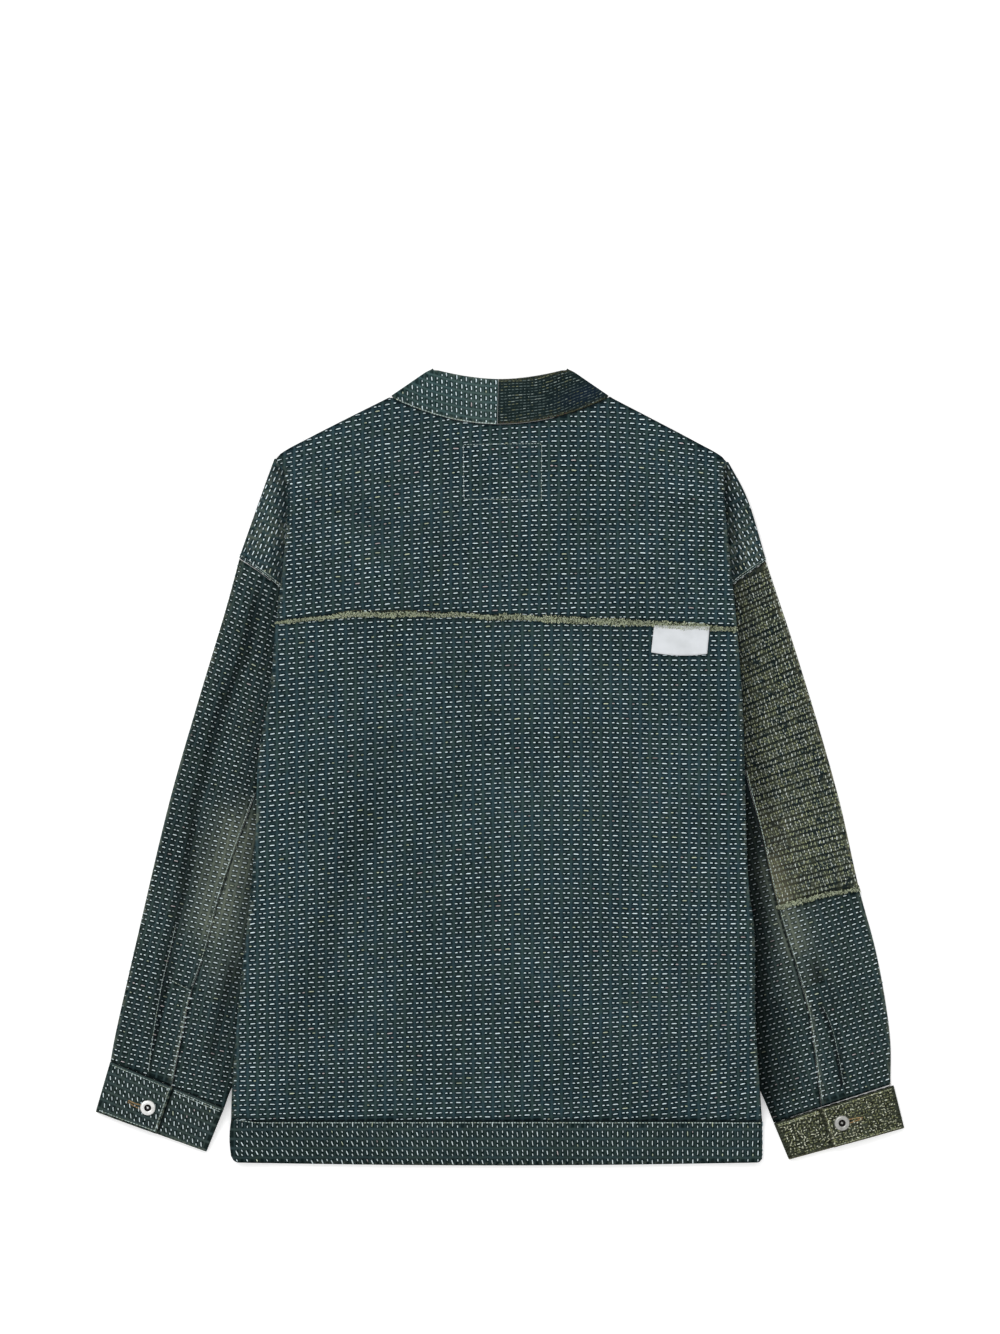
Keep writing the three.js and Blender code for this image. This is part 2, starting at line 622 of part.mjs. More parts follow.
function cuffPlace(side, t, a) {
  const corner = (k) => new THREE.Vector3(...side.cuffTop[k], 0)
    .lerp(new THREE.Vector3(...side.cuffBottom[k], 0), t);
  const [outer, inner] = [corner(0), corner(1)];
  const across = inner.clone().sub(outer).normalize();
  const inset = BAND / 2 + BAND_TURN;
  outer.addScaledVector(across, inset);
  inner.addScaledVector(across, -inset);
  return { place: outer.lerp(inner, a), across };
}

function cuffPoint(side, t, a, angle, cover = 0) {
  const { place, across } = cuffPlace(side, t, a);
  const middle = sleeveLevel(side, place.x, place.y) - SLEEVE_Z + BAND_Z + BAND_TURN;
  place.addScaledVector(across, (a > 0.5 ? 1 : -1) * BAND_TURN * Math.cos(angle));
  return place.setZ(middle + BAND_TURN * Math.sin(angle) + cover * COVER);
}

for (const side of SIDES) {
  const [outer, inner] = side.cuffTop;
  const hidden = side.cuffOverlap - UNDERLAP / Math.hypot(outer[0] - inner[0], outer[1] - inner[1]);
  const up = Math.PI / 2;
  const lapped = (a, t) => cuffPoint(side, t, a, up, smoothstep(a, 0, hidden - COVER_CLEAR));
  const rows = steps(CUFF_ROWS).map((t) => [
    ...steps(CUFF_COLUMNS).map((s) => cuffPoint(side, t, lerp(hidden, 1, s), up)),
    ...HALF_TURN.map((angle) => cuffPoint(side, t, 1, angle)),
    ...steps(CUFF_COLUMNS).map((s) => cuffPoint(side, t, 1 - s, -up)),
    ...HALF_TURN.toReversed().map((angle) => cuffPoint(side, t, 0, angle)),
    ...steps(CUFF_COLUMNS).map((s) => lapped(side.cuffOverlap * s, t)),
  ]);
  piece(`cuff_${side.name}`, wall(placed(side, rows), BAND), side === left ? INDIGO : OLIVE);
}

// ---- Buttons: metal discs with a sunken middle, riveted to the lapped end of each cuff ----

// Shares of the radius, and heights above the cuff.
const BUTTON_PROFILE = [
  [0, 0], [1, 0], [1, 0.9], [0.82, 2.3], [0.5, 2.6], [0.38, 1.5], [0.14, 1.3], [0, 1.7],
];

for (const side of SIDES) {
  const profile = BUTTON_PROFILE.map(([r, z]) => new THREE.Vector2(r * BUTTON_R, z));
  const geometry = new THREE.LatheGeometry(profile, BUTTON_SIDES).rotateX(Math.PI / 2);
  const mesh = piece(`button_${side.name}`, geometry, side === left ? BRIGHT_METAL : DULL_METAL);
  const [x, y] = side.button;
  const top = sleeveLevel(side, x, y) - SLEEVE_Z + BAND_TOP_Z + COVER + BAND / 2;
  mesh.position.set(side.sign * x, y, top + SEAM);
}

export default jacket;
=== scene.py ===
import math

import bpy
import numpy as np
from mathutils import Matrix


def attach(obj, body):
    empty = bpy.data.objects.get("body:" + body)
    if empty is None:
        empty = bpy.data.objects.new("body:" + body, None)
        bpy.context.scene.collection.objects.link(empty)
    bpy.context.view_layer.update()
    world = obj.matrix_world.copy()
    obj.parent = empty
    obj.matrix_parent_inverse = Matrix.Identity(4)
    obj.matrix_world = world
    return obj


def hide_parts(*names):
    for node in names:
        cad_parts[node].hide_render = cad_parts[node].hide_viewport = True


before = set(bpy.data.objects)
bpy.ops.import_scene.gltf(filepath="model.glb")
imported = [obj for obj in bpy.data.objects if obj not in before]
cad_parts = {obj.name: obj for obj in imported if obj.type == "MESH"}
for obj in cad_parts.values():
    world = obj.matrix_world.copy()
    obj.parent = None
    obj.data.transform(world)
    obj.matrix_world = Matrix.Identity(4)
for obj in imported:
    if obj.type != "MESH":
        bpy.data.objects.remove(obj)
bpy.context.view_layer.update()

# A patched work jacket of running-stitched cotton, laid flat on its front with its back up.
# Lengths below are in millimetres, and MM turns them into metres where a mesh is made. x is
# across, y towards the collar and z up from the floor; the wearer's left is at -x.

MM = 0.001

# ---- The room ----
# A pale floor under soft light from the upper left, looked at from straight above.

FLOOR_HALF = 6.0
CAMERA_HEIGHT = 5.0
VIEW_CENTRE_Y = 0.094
VIEW_LENGTH = 1.2673  # of the floor, along the picture's long side
SENSOR = 36.0


def put_in_scene(name, data):
    thing = bpy.data.objects.new(name, data)
    bpy.context.scene.collection.objects.link(thing)
    return thing


floor_mesh = bpy.data.meshes.new("floor")
floor_mesh.from_pydata(
    [(x * FLOOR_HALF, y * FLOOR_HALF, 0) for x, y in ((-1, -1), (1, -1), (1, 1), (-1, 1))],
    [], [(0, 1, 2, 3)])
floor = put_in_scene("floor", floor_mesh)
paper = bpy.data.materials.new("pale_floor")
paper.use_nodes = True
paper_shader = paper.node_tree.nodes["Principled BSDF"].inputs
paper_shader["Base Color"].default_value = (0.93, 0.93, 0.93, 1)
paper_shader["Roughness"].default_value = 0.9
paper_shader["Emission Color"].default_value = (1, 1, 1, 1)
paper_shader["Emission Strength"].default_value = 0.3
floor_mesh.materials.append(paper)

world = bpy.data.worlds.new("soft_room")
world.use_nodes = True
sky = world.node_tree.nodes["Background"].inputs
sky["Color"].default_value = (1, 1, 1, 1)
sky["Strength"].default_value = 0.88
bpy.context.scene.world = world

lamp = bpy.data.lights.new("window", "SUN")
lamp.energy = 1.1
lamp.angle = math.radians(24)
window = put_in_scene("window", lamp)
window.rotation_euler = (math.radians(-38), math.radians(-32), 0)

camera = put_in_scene("camera", bpy.data.cameras.new("camera"))
camera.location = (0, VIEW_CENTRE_Y, CAMERA_HEIGHT)
camera.data.sensor_width = SENSOR
camera.data.lens = SENSOR * CAMERA_HEIGHT / VIEW_LENGTH
bpy.context.scene.camera = camera
bpy.context.scene.view_settings.view_transform = "Standard"

# ---- Back yoke ----
# The shoulders and upper back, one piece of indigo cotton run all over with a pale thread. Its
# sides fold under, and beyond the shoulder points it goes down beside the sleeves to the armholes.

CLOTH = 1.2
HALF_WALL = 0.8  # half of what a layer of cloth takes up where layers lie on each other
TURN = 1.1  # radius of a fold, to the middle of the cloth
SEAM = 0.3
FRONT_Z = 0.8  # heights of the middles of the layers
SLEEVE_Z = 1.9
SLEEVE_LIFT = 4.2
BACK_RAISED_Z = 11.4
BACK_HEM_Z = 7.2
BACK_Z = 3.6
HEM_Y = -337
BOTTOM_Y = -379
NECK_Y = 324.5
NECK_CURVE = 0.0024
NECK_X = 105
SLOPE = 45
SLOPE_MARGIN = 15
UNDERARM = (66.5, 43.7)
TUCK_MARGIN = 6
FOLD_START = 30
YOKE_SEAM = [(-213, 137), (-150, 144), (-90, 145.5), (0, 143), (100, 138.5), (225, 131.5)]


class Side:
    """One side of the jacket, drawn with x as the distance from the middle line."""


left, right = Side(), Side()
left.name, left.sign = "left", -1
left.shoulder = [(NECK_X, 350), (184, 310), (206, 298), (214, 292)]
left.fold = [
    (-337, 255.5), (-309, 254.5), (-213, 247), (-118, 236.5), (-60, 232), (12, 229),
    (72, 218.5), (135, 213), (200, 205), (253, 201.5), (274, 203), (292, 214)]
left.shoulder_edge = [(214, 292), (247.5, 197.5)]
left.armhole = [(247.5, 197.5), (230, 186), (206, 167), (140, 110), UNDERARM]
right.name, right.sign = "right", 1
right.shoulder = [(NECK_X, 350), (190, 305.5), (208, 295.5), (216.5, 289)]
right.fold = [
    (-337, 249), (-311, 247), (-240, 242.5), (-150, 241), (-118, 236.5), (-32, 233),
    (47, 231), (130, 225), (207, 217.5), (256, 212.5), (278, 212), (289, 216.5)]
right.shoulder_edge = [(216.5, 289), (234, 255), (252.5, 195)]
right.armhole = [(252.5, 195), (231, 180), (206, 160), (140, 111), UNDERARM]
SIDES = (left, right)


def through(pairs):
    """A smooth function through (input, output) pairs in ascending order of input."""
    at, out = np.array(pairs, float).T
    slopes = np.diff(out) / np.diff(at)
    turns = np.where(slopes[:-1] * slopes[1:] > 0, (slopes[:-1] + slopes[1:]) / 2, 0)
    tangents = np.concatenate([slopes[:1], turns, slopes[-1:]])

    def value(x):
        x = np.clip(x, at[0], at[-1])
        i = np.clip(np.searchsorted(at, x, side="right") - 1, 0, len(at) - 2)
        width = at[i + 1] - at[i]
        t = (x - at[i]) / width
        ends = tangents[i] * width * t * (1 - t) ** 2 - tangents[i + 1] * width * t * t * (1 - t)
        return out[i] + ends + (out[i + 1] - out[i]) * t * t * (3 - 2 * t)
    return value


def curve(points, count=400):
    """A smooth line through the points, as a function of the share of its length."""
    p = np.array(points, float)
    p = np.vstack([2 * p[0] - p[1], p, 2 * p[-1] - p[-2]])
    dense = []
    for a, b, c, d in zip(p, p[1:], p[2:], p[3:]):
        gaps = [np.linalg.norm(q - o) ** 0.5 for o, q in ((a, b), (b, c), (c, d))]
        start = (b - a) / gaps[0] - (c - a) / (gaps[0] + gaps[1]) + (c - b) / gaps[1]
        end = (c - b) / gaps[1] - (d - b) / (gaps[1] + gaps[2]) + (d - c) / gaps[2]
        t = np.linspace(0, 1, count // (len(p) - 3) + 1)[:, None]
        start, end = start * gaps[1], end * gaps[1]
        dense.append(b + start * t + (3 * (c - b) - 2 * start - end) * t ** 2
                     + (2 * (b - c) + start + end) * t ** 3)
    dense = np.vstack(dense)
    along = np.concatenate([[0], np.cumsum(np.linalg.norm(np.diff(dense, axis=0), axis=1))])
    along /= along[-1]
    return lambda s: np.stack([np.interp(s, along, dense[:, k]) for k in (0, 1)], -1)


def smooth(x, low, high):
    t = np.clip((x - low) / (high - low), 0, 1)
    return t * t * (3 - 2 * t)


def lerp(a, b, t):
    return a + (b - a) * t


def unit(vectors):
    return vectors / np.maximum(np.linalg.norm(vectors, axis=-1, keepdims=True), 1e-9)


for side in SIDES:
    side.fold_x = through(side.fold)
    side.shoulder_y = through(side.shoulder)
    side.shoulder_curve = curve(side.shoulder_edge)
    side.armhole_curve = curve(side.armhole)
    side.point = side.shoulder[-1]
    side.corner = side.sign * side.point[0]
yoke_seam_y = through(YOKE_SEAM)


def on_side(x, per_side):
    """per_side(side) where each x lies, for the left below nought and the right above."""
    return np.where(np.asarray(x) < 0, per_side(left), per_side(right))


def fold_reach(side, y):
    return side.fold_x(y) - HALF_WALL - TURN


def tuck_x(side, y):
    """How far in the hidden side folds reach."""
    (arm_x, arm_y), (top_x, top_y) = UNDERARM, side.point
    hem_x = side.fold_x(HEM_Y) - 3
    upper = lerp(arm_x, top_x, (y - arm_y) / (top_y - arm_y))
    lower = lerp(arm_x, hem_x, (arm_y - y) / (arm_y - HEM_Y))
    return np.where(y > arm_y, upper, lower) - TUCK_MARGIN * smooth(y, HEM_Y, HEM_Y + 60)


def fold_formed(side, y):
    return smooth(side.point[1] - y, 0, FOLD_START)


def back_level(x, y):
    inner = on_side(x, lambda side: tuck_x(side, y)) - SLOPE_MARGIN
    raised = lerp(BACK_HEM_Z, BACK_RAISED_Z, smooth(y, HEM_Y, HEM_Y + 28))
    formed = on_side(x, lambda side: fold_formed(side, y))
    return lerp(BACK_Z, raised, smooth(np.abs(x), inner - SLOPE, inner) * formed)


def sleeve_level(side, x, y):
    """Middle of a flat sleeve: it rides over the fold of the front and falls to the floor."""
    over = 1 - smooth(np.abs(x) - side.fold_x(y), 10, 42)
    return SLEEVE_Z + SLEEVE_LIFT * over * smooth(y, BOTTOM_Y, HEM_Y + 32)


def top_of_back(x):
    away = np.abs(x)
    shoulders = on_side(x, lambda side: side.shoulder_y(away))
    return np.where(away < NECK_X, NECK_Y + NECK_CURVE * away ** 2, shoulders)


def distance(points, x, y):
    """How far each place is from a line of points, and the share of the line that it is next to."""
    best, share = np.full(np.shape(x), 1e9), np.zeros(np.shape(x))
    for k, (a, b) in enumerate(zip(points, points[1:])):
        (ax, ay), (dx, dy) = a, np.subtract(b, a)
        t = np.clip(((x - ax) * dx + (y - ay) * dy) / (dx * dx + dy * dy), 0, 1)
        away = np.hypot(x - ax - t * dx, y - ay - t * dy)
        share = np.where(away < best, (k + t) / (len(points) - 1), share)
        best = np.minimum(best, away)
    return best, share


def crease(points, x, y, width):
    """1 in the bottom of a crease, fading out across it and towards its ends."""
    away, share = distance(points, x, y)
    ends = smooth(share, -0.02, 0.15) * (1 - smooth(share, 0.85, 1.02))
    return np.exp(-(away / width) ** 2) * ends


def rumple(x, y, size, seed):
    """Soft unevenness from 0 to 1."""
    rng, total = np.random.default_rng(seed), 0
    for _ in range(7):
        angle, phase, wave = rng.uniform(0, math.pi), rng.uniform(0, 6.3), rng.uniform(0.6, 1.5)
        total = total + np.sin(
            (x * math.cos(angle) + y * math.sin(angle)) * 2 * math.pi * wave / size + phase)
    return np.clip(0.5 + total / 9, 0, 1)


# Each crease is a soft trough between two low ridges: its line, its width and its height.
BACK_CREASES = [
    ([(-94, 60), (-124, -37), (-165, -164), (-205, -287)], 20, 1.1),
    ([(112, 20), (116, -62), (112, -150)], 13, 0.7),
    ([(-190, 262), (-120, 235), (-40, 214)], 16, 0.7),
    ([(196, 258), (130, 236), (70, 222)], 15, 0.6),
    ([(-60, -60), (-78, -190), (-70, -310)], 20, 0.5),
    ([(205, -255), (222, -300), (214, -334)], 9, 0.8),
    ([(180, -120), (168, -230), (186, -325)], 15, 0.5),
]


def troughs(creases, x, y):
    """Height that the creases add, and their depth of shade."""
    height, shade = np.zeros(np.shape(x)), np.zeros(np.shape(x))
    for line, width, rise in creases:
        narrow = crease(line, x, y, width)
        height = height + rise * (crease(line, x, y, 3 * width) - narrow)
        shade = np.maximum(shade, narrow * min(1, rise / 2) * 0.45)
    return np.maximum(height, 0), shade


def back_relief(x, y):
    """The cloth's own unevenness, which dies out at the neck and the sides."""
    inside = 1 - smooth(np.abs(x), 190, 232)
    return troughs(BACK_CREASES, x, y)[0] + 0.9 * rumple(x, y, 130, 3) * inside


def round_fold(x, y):
    """Past the edge of a side fold, x goes on round it: its side, how far out that is without the
    turn itself, and how far it has turned."""
    edge = on_side(x, lambda side: fold_reach(side, y))
    beyond = np.maximum(np.abs(x) - edge, 0)
    flat = np.minimum(np.abs(x), edge) - np.maximum(beyond - math.pi * TURN, 0)
    return np.where(x < 0, -1, 1), flat, np.minimum(beyond / TURN, math.pi)


def back_place(x, y):
    """The middle of the back's cloth, round and under its side folds."""
    across, flat, angle = round_fold(x, y)
    height = back_level(across * flat, y) - TURN * (1 - np.cos(angle))
    raised = back_relief(across * flat, y) * (0.5 + 0.5 * np.cos(angle))
    return np.stack([across * (flat + TURN * np.sin(angle)), y + 0 * x, height + raised], -1)


# The running stitch: rows of dashes, a long one and a pair of short ones by turns.
CELL = (9.3, 4.65)
LONG_DASH = 5.5
SHORT_DASH = 2.65
SHORT_APART = 2.1
DASH_WIDTH = 1.14
DASH_HEIGHT = 0.42


# How steeply the rows rise to the right, in degrees, at places across the back and up it. They
# dip towards both shoulders, and the cloth's drape leaves them a little skew lower down.
ACROSS = (-250, -125, 0, 110, 250)
YOKE_SLOPES = {150: (10, 6.3, 2.5, 0.3, -2.5), 205: (10.5, 7.8, 3.1, 0, -4.5),
               300: (13, 11, 4.7, -3, -13)}
PANEL_SLOPES = {
    -300: (1.5, 2, 1.5, 5.5, 9.5), -240: (4.5, 3.5, 2.6, 3.2, 4.5), -180: (6, 5, 3, 0.8, 0.5),
    -100: (7, 6.5, 3.8, -2.2, -0.8), 0: (7.4, 5.8, 3.3, -1.8, -0.8), 100: (6.5, 4, 1.2, -0.5, 0.5)}


def sloping_rows(table):
    """How far a row has risen at x, from the slopes that it has on its way there."""
    columns = [through([(y, math.tan(math.radians(row[k]))) for y, row in table.items()])
               for k in range(len(ACROSS))]

    def rows(x, y):
        total, slopes = 0, [column(y) for column in columns]
        for k, (start, end) in enumerate(zip(ACROSS, ACROSS[1:])):
            for reached, sign in ((x, 1), (0, -1)):
                run = np.clip(reached, start, end) - start
                bend = (slopes[k + 1] - slopes[k]) * run ** 2 / 2 / (end - start)
                total = total + sign * (slopes[k] * run + bend)
        return total
    return rows


def weave_axes(angle):
    turn = math.radians(angle)
    return np.array([math.cos(turn), math.sin(turn)]), np.array([-math.sin(turn), math.cos(turn)])


def cells_at(x, y, cell=CELL, angle=0.0, origin=(0, 0), rows=None, slip=None, lean=None):
    """Where a place lies in the cells of a running stitch, whose rows lie at an angle in degrees,
    rise by rows(u, v) and slip by slip(v) along them, and start at origin. lean moves no cells."""
    ahead, aside = weave_axes(angle)
    u, v = x * ahead[0] + y * ahead[1], x * aside[0] + y * aside[1]
    lifted = rows(u, v) if rows else 0
    slid = slip(v) if slip else 0
    return np.stack([(u - slid - origin[0]) / cell[0], (v - lifted - origin[1]) / cell[1]], -1)


def grid_wall(points, uv, thickness=CLOTH):
    """A closed wall of cloth round a grid of points of its middle. A point of NaN is left out."""
    rows, columns = points.shape[:2]
    there = ~np.isnan(points[..., 0])
    ids = np.full((rows, columns), -1)
    ids[there] = np.arange(there.sum())
    quads = np.stack([ids[:-1, :-1], ids[:-1, 1:], ids[1:, 1:], ids[1:, :-1]], -1).reshape(-1, 4)
    quads = quads[(quads >= 0).all(1)]
    flat, flat_uv = points[there], uv[there]
    a, b, c, d = (flat[quads[:, k]] for k in range(4))
    facing = unit(np.cross(c - a, d - b))
    normals = np.zeros_like(flat)
    for k in range(4):
        np.add.at(normals, quads[:, k], facing)
    normals = unit(normals)
    count = len(flat)
    edges = np.concatenate([quads[:, [k, (k + 1) % 4]] for k in range(4)])
    back = {(q, p) for p, q in edges.tolist()}
    rim = [(q, p, p + count, q + count) for p, q in edges.tolist() if (p, q) not in back]
    return {
        "places": np.vstack([flat + normals * thickness / 2, flat - normals * thickness / 2]),
        "uv": np.vstack([flat_uv, flat_uv]),
        "faces": quads.tolist() + (quads[:, ::-1] + count).tolist() + rim,
    }


def mirrored(side, shape):
    """A wall drawn with x as the distance from the middle line, put on its side."""
    if side.sign < 0:
        shape["places"] = shape["places"] * (-1, 1, 1)
        shape["faces"] = [tuple(reversed(face)) for face in shape["faces"]]
    return shape


def fasten(piece, slot, *nodes):
    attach(piece, "root")
    if nodes:
        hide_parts(*nodes)
    return piece


def new_piece(name, places, faces, material, uv_name, uv, fields):
    """A piece from its places in mm, with a uv for each and what varies over it."""
    mesh = bpy.data.meshes.new(name)
    mesh.from_pydata((places * MM).tolist(), [], faces)
    corners = np.concatenate([np.ravel(face) for face in faces])
    corner_uv = uv[corners].astype(np.float32).ravel()
    mesh.uv_layers.new(name=uv_name).uv.foreach_set("vector", corner_uv)
    for field, values in fields.items():
        values = np.broadcast_to(values, len(places)).astype(np.float32)
        mesh.attributes.new(field, "FLOAT", "POINT").data.foreach_set("value", values)
    mesh.polygons.foreach_set("use_smooth", [True] * len(mesh.polygons))
    mesh.materials.append(material)
    return put_in_scene(name, mesh)


def cloth_object(name, node, walls, material, paint=None, slot="indigo_cloth"):
    """One piece of cloth from its walls, in place of a node of the frame. paint gives what varies
    over it: fade, shade and wear."""
    starts = np.cumsum([0] + [len(shape["places"]) for shape in walls])
    places, uv = (np.vstack([shape[part] for shape in walls]) for part in ("places", "uv"))
    faces = [tuple(start + i for i in face) for start, shape in zip(starts.tolist(), walls)
             for face in shape["faces"]]
    fields = paint(*places.T) if paint else {}
    return fasten(new_piece(name, places, faces, material, "weave", uv, fields), slot, node)


class Nodes:
    """Adds nodes to a material or a group and joins them."""

    def __init__(self, tree):
        self.tree = tree

    def put(self, socket, value):
        if isinstance(value, bpy.types.NodeSocket):
            self.tree.links.new(value, socket)
        elif isinstance(value, tuple) and socket.type == "RGBA" and len(value) == 3:
            socket.default_value = (*value, 1)
        else:
            socket.default_value = value

    def add(self, kind, settings=(), **inputs):
        node = self.tree.nodes.new(kind)
        for name, value in dict(settings).items():
            setattr(node, name, value)
        for name, value in inputs.items():
            self.put(node.inputs[name.replace("_", " ")], value)
        return node

    def math(self, operation, a, b=0.0):
        node = self.add("ShaderNodeMath", {"operation": operation})
        self.put(node.inputs[0], a)
        self.put(node.inputs[1], b)
        return node.outputs[0]

    def plus(self, a, b):
        return self.math("ADD", a, b)

    def minus(self, a, b):
        return self.math("SUBTRACT", a, b)

    def times(self, a, b):
        return self.math("MULTIPLY", a, b)

    def ease(self, value, low, high, start=0.0, end=1.0):
        limits = {"From_Min": low, "From_Max": high, "To_Min": start, "To_Max": end}
        return self.add("ShaderNodeMapRange", {"interpolation_type": "SMOOTHSTEP"}, Value=value,
                        **limits).outputs["Result"]

    def blend(self, factor, a, b, way="MIX"):
        node = self.add("ShaderNodeMix", {"data_type": "RGBA", "blend_type": way})
        for index, value in ((0, factor), (6, a), (7, b)):
            self.put(node.inputs[index], value)
        return node.outputs[2]

    def noise(self, vector, scale, detail=2.0):
        node = self.add("ShaderNodeTexNoise", Vector=vector, Scale=scale, Detail=detail)
        return node.outputs["Fac"]

    def stretch(self, vector, x, y, z=1.0):
        node = self.add("ShaderNodeMapping", Vector=vector)
        node.inputs["Scale"].default_value = (x, y, z)
        return node.outputs["Vector"]

    def field(self, name):
        return self.add("ShaderNodeAttribute", {"attribute_name": name}).outputs["Fac"]

    def weave(self):
        return self.add("ShaderNodeUVMap", {"uv_map": "weave"}).outputs["UV"]


def node_group(name, inputs, outputs):
    """An empty shader group with these sockets, its nodes, and its inputs and output."""
    group = bpy.data.node_groups.new(name, "ShaderNodeTree")
    for socket, kind in inputs.items():
        group.interface.new_socket(socket, in_out="INPUT", socket_type=kind)
    for socket, kind in outputs.items():
        group.interface.new_socket(socket, in_out="OUTPUT", socket_type=kind)
    nodes = Nodes(group)
    return nodes, nodes.add("NodeGroupInput").outputs, nodes.add("NodeGroupOutput")


COLOUR, NUMBER, VECTOR = "NodeSocketColor", "NodeSocketFloat", "NodeSocketVector"

# Worn cotton with painted shade, for any of the cloths. Shade is painted shade in creases and
# beside folds and seams, fade bleaches all but what is kept, and wear rubs the edges pale, both
# broken up by the cloth's own grain.
aged_shaded, given, aged_shaded_out = node_group(
    "worn cotton with painted shade",
    {"Cell": VECTOR, "Color": COLOUR, "Faded": COLOUR, "Fade": NUMBER, "Shade": NUMBER,
     "Wear": NUMBER, "Kept": NUMBER},
    {"Color": COLOUR})
cloud = aged_shaded.noise(aged_shaded.stretch(given["Cell"], 0.09, 0.05), 1.0, 3.0)
grain = aged_shaded.noise(aged_shaded.stretch(given["Cell"], 2.3, 1.3), 1.0, 3.0)
toned = aged_shaded.blend(1.0, given["Color"], aged_shaded.ease(cloud, 0.25, 0.75, 0.82, 1.18), "MULTIPLY")
bleach = aged_shaded.times(given["Fade"], aged_shaded.ease(grain, 0.2, 0.75, 0.55, 1.0))
bleach = aged_shaded.times(bleach, aged_shaded.ease(given["Kept"], 0.1, 1.0, 1.0, 0.28))
toned = aged_shaded.blend(bleach, toned, given["Faded"])
rubbed = aged_shaded.times(given["Wear"], aged_shaded.ease(grain, 0.42, 0.62))
toned = aged_shaded.blend(rubbed, toned, given["Faded"])
# painted shade: the shade field darkens the colour by up to four fifths
dim = aged_shaded.minus(1.0, aged_shaded.times(given["Shade"], 0.8))
aged_shaded.put(aged_shaded_out.inputs["Color"], aged_shaded.blend(1.0, toned, dim, "MULTIPLY"))

# Ground of the running-stitched cloth, drawn over its cells: dark above and below each dash, partly
# the cloth's own deeper indigo and partly painted shade of the raised dashes, paler and puffed up
# between the columns, in uneven blue and green, with a plain weave.
ground, given, ground_out = node_group(
    "stitched ground",
    {"Cell": VECTOR, "Dark": COLOUR, "Blue": COLOUR, "Green": COLOUR},
    {"Color": COLOUR, "Height": NUMBER, "Roughness": NUMBER, "Deep": NUMBER})
split = ground.add("ShaderNodeSeparateXYZ", Vector=given["Cell"]).outputs
wander = ground.noise(ground.stretch(given["Cell"], 0.9, 0.6), 1.0)
column = ground.math("PINGPONG", ground.math(
    "ADD", split["X"], ground.times(ground.minus(wander, 0.5), 0.22)), 0.5)
row = ground.math("PINGPONG", split["Y"], 0.5)
between = ground.ease(column, 0.02, 0.22, 1.0, 0.0)
beside = ground.ease(row, 0.06, 0.3)
mottle = ground.noise(ground.stretch(given["Cell"], 1.7, 2.2), 1.0, 3.0)
patchy = ground.noise(ground.stretch(given["Cell"], 0.55, 0.32), 1.0, 2.0)
pale = ground.blend(ground.ease(patchy, 0.42, 0.58), given["Blue"], given["Green"])
# deep: the dark beside each row of dashes, partly painted shade of the dashes
deep = ground.times(ground.minus(1.0, between), ground.ease(beside, 0.0, 1.0, 0.5, 1.0))
deep = ground.times(deep, ground.ease(mottle, 0.3, 0.7, 0.8, 1.0))
ground.put(ground_out.inputs["Color"], ground.blend(deep, pale, given["Dark"]))
ground.put(ground_out.inputs["Deep"], deep)
THREADS = (2 * math.pi * 13, 2 * math.pi * 7)  # of the plain weave in a cell, as angles
warp = ground.math("SINE", ground.times(split["X"], THREADS[0]))
weft = ground.math("SINE", ground.times(split["Y"], THREADS[1]))
weave = ground.times(ground.times(warp, weft), 0.22)
puffed = ground.plus(ground.times(between, 0.6), ground.times(mottle, 0.5))
ground.put(ground_out.inputs["Height"], ground.plus(weave, puffed))
ground.put(ground_out.inputs["Roughness"], ground.ease(mottle, 0.2, 0.8, 0.84, 0.97))


def group_node(nodes, name, **inputs):
    node = nodes.add("ShaderNodeGroup", {"node_tree": bpy.data.node_groups[name]})
    for socket, value in inputs.items():
        nodes.put(node.inputs[socket.replace("_", " ")], value)
    return node.outputs


def surface(nodes, colour, roughness, height, depth, strength=1.0, **plain):
    """Joins colour, roughness and relief to the material's shader. depth is the relief in mm."""
    shader = nodes.tree.nodes["Principled BSDF"]
    nodes.put(shader.inputs["Base Color"], colour)
    nodes.put(shader.inputs["Roughness"], roughness)
    bump = nodes.add("ShaderNodeBump", Height=height, Distance=depth * MM, Strength=strength)
    nodes.put(shader.inputs["Normal"], bump.outputs["Normal"])
    for name, value in plain.items():
        shader.inputs[name.replace("_", " ")].default_value = value


def new_material(name):
    material = bpy.data.materials.new(name)
    material.use_nodes = True
    return material, Nodes(material.node_tree)


def aged_and_shaded_colour(nodes, cell, **inputs):
    """The colour of a cloth once it is faded and worn, and darkened by painted shade, by its own
    fields.
    """
    fields = {name.title(): nodes.field(name) for name in ("fade", "shade", "wear")}
    return group_node(nodes, "worn cotton with painted shade", Cell=cell, **inputs, **fields)["Color"]


def stitched_cloth(name, dark, blue, green, faded):
    material, nodes = new_material(name)
    cell = nodes.weave()
    base = group_node(nodes, "stitched ground", Cell=cell, Dark=dark, Blue=blue, Green=green)
    worn = aged_and_shaded_colour(nodes, cell, Color=base["Color"], Faded=faded, Kept=base["Deep"])
    surface(nodes, worn, base["Roughness"], base["Height"], 0.5, Specular_IOR_Level=0.02)
    return material


FADED = (0.165, 0.190, 0.145)
indigo_cloth = stitched_cloth(
    "indigo_stitched_cotton", dark=(0.0042, 0.0118, 0.0148), blue=(0.030, 0.060, 0.071),
    green=(0.034, 0.063, 0.061), faded=FADED)
worn_indigo = stitched_cloth(
    "worn_indigo_cotton", dark=(0.0048, 0.0115, 0.0118), blue=(0.032, 0.056, 0.060),
    green=(0.035, 0.058, 0.054), faded=FADED)

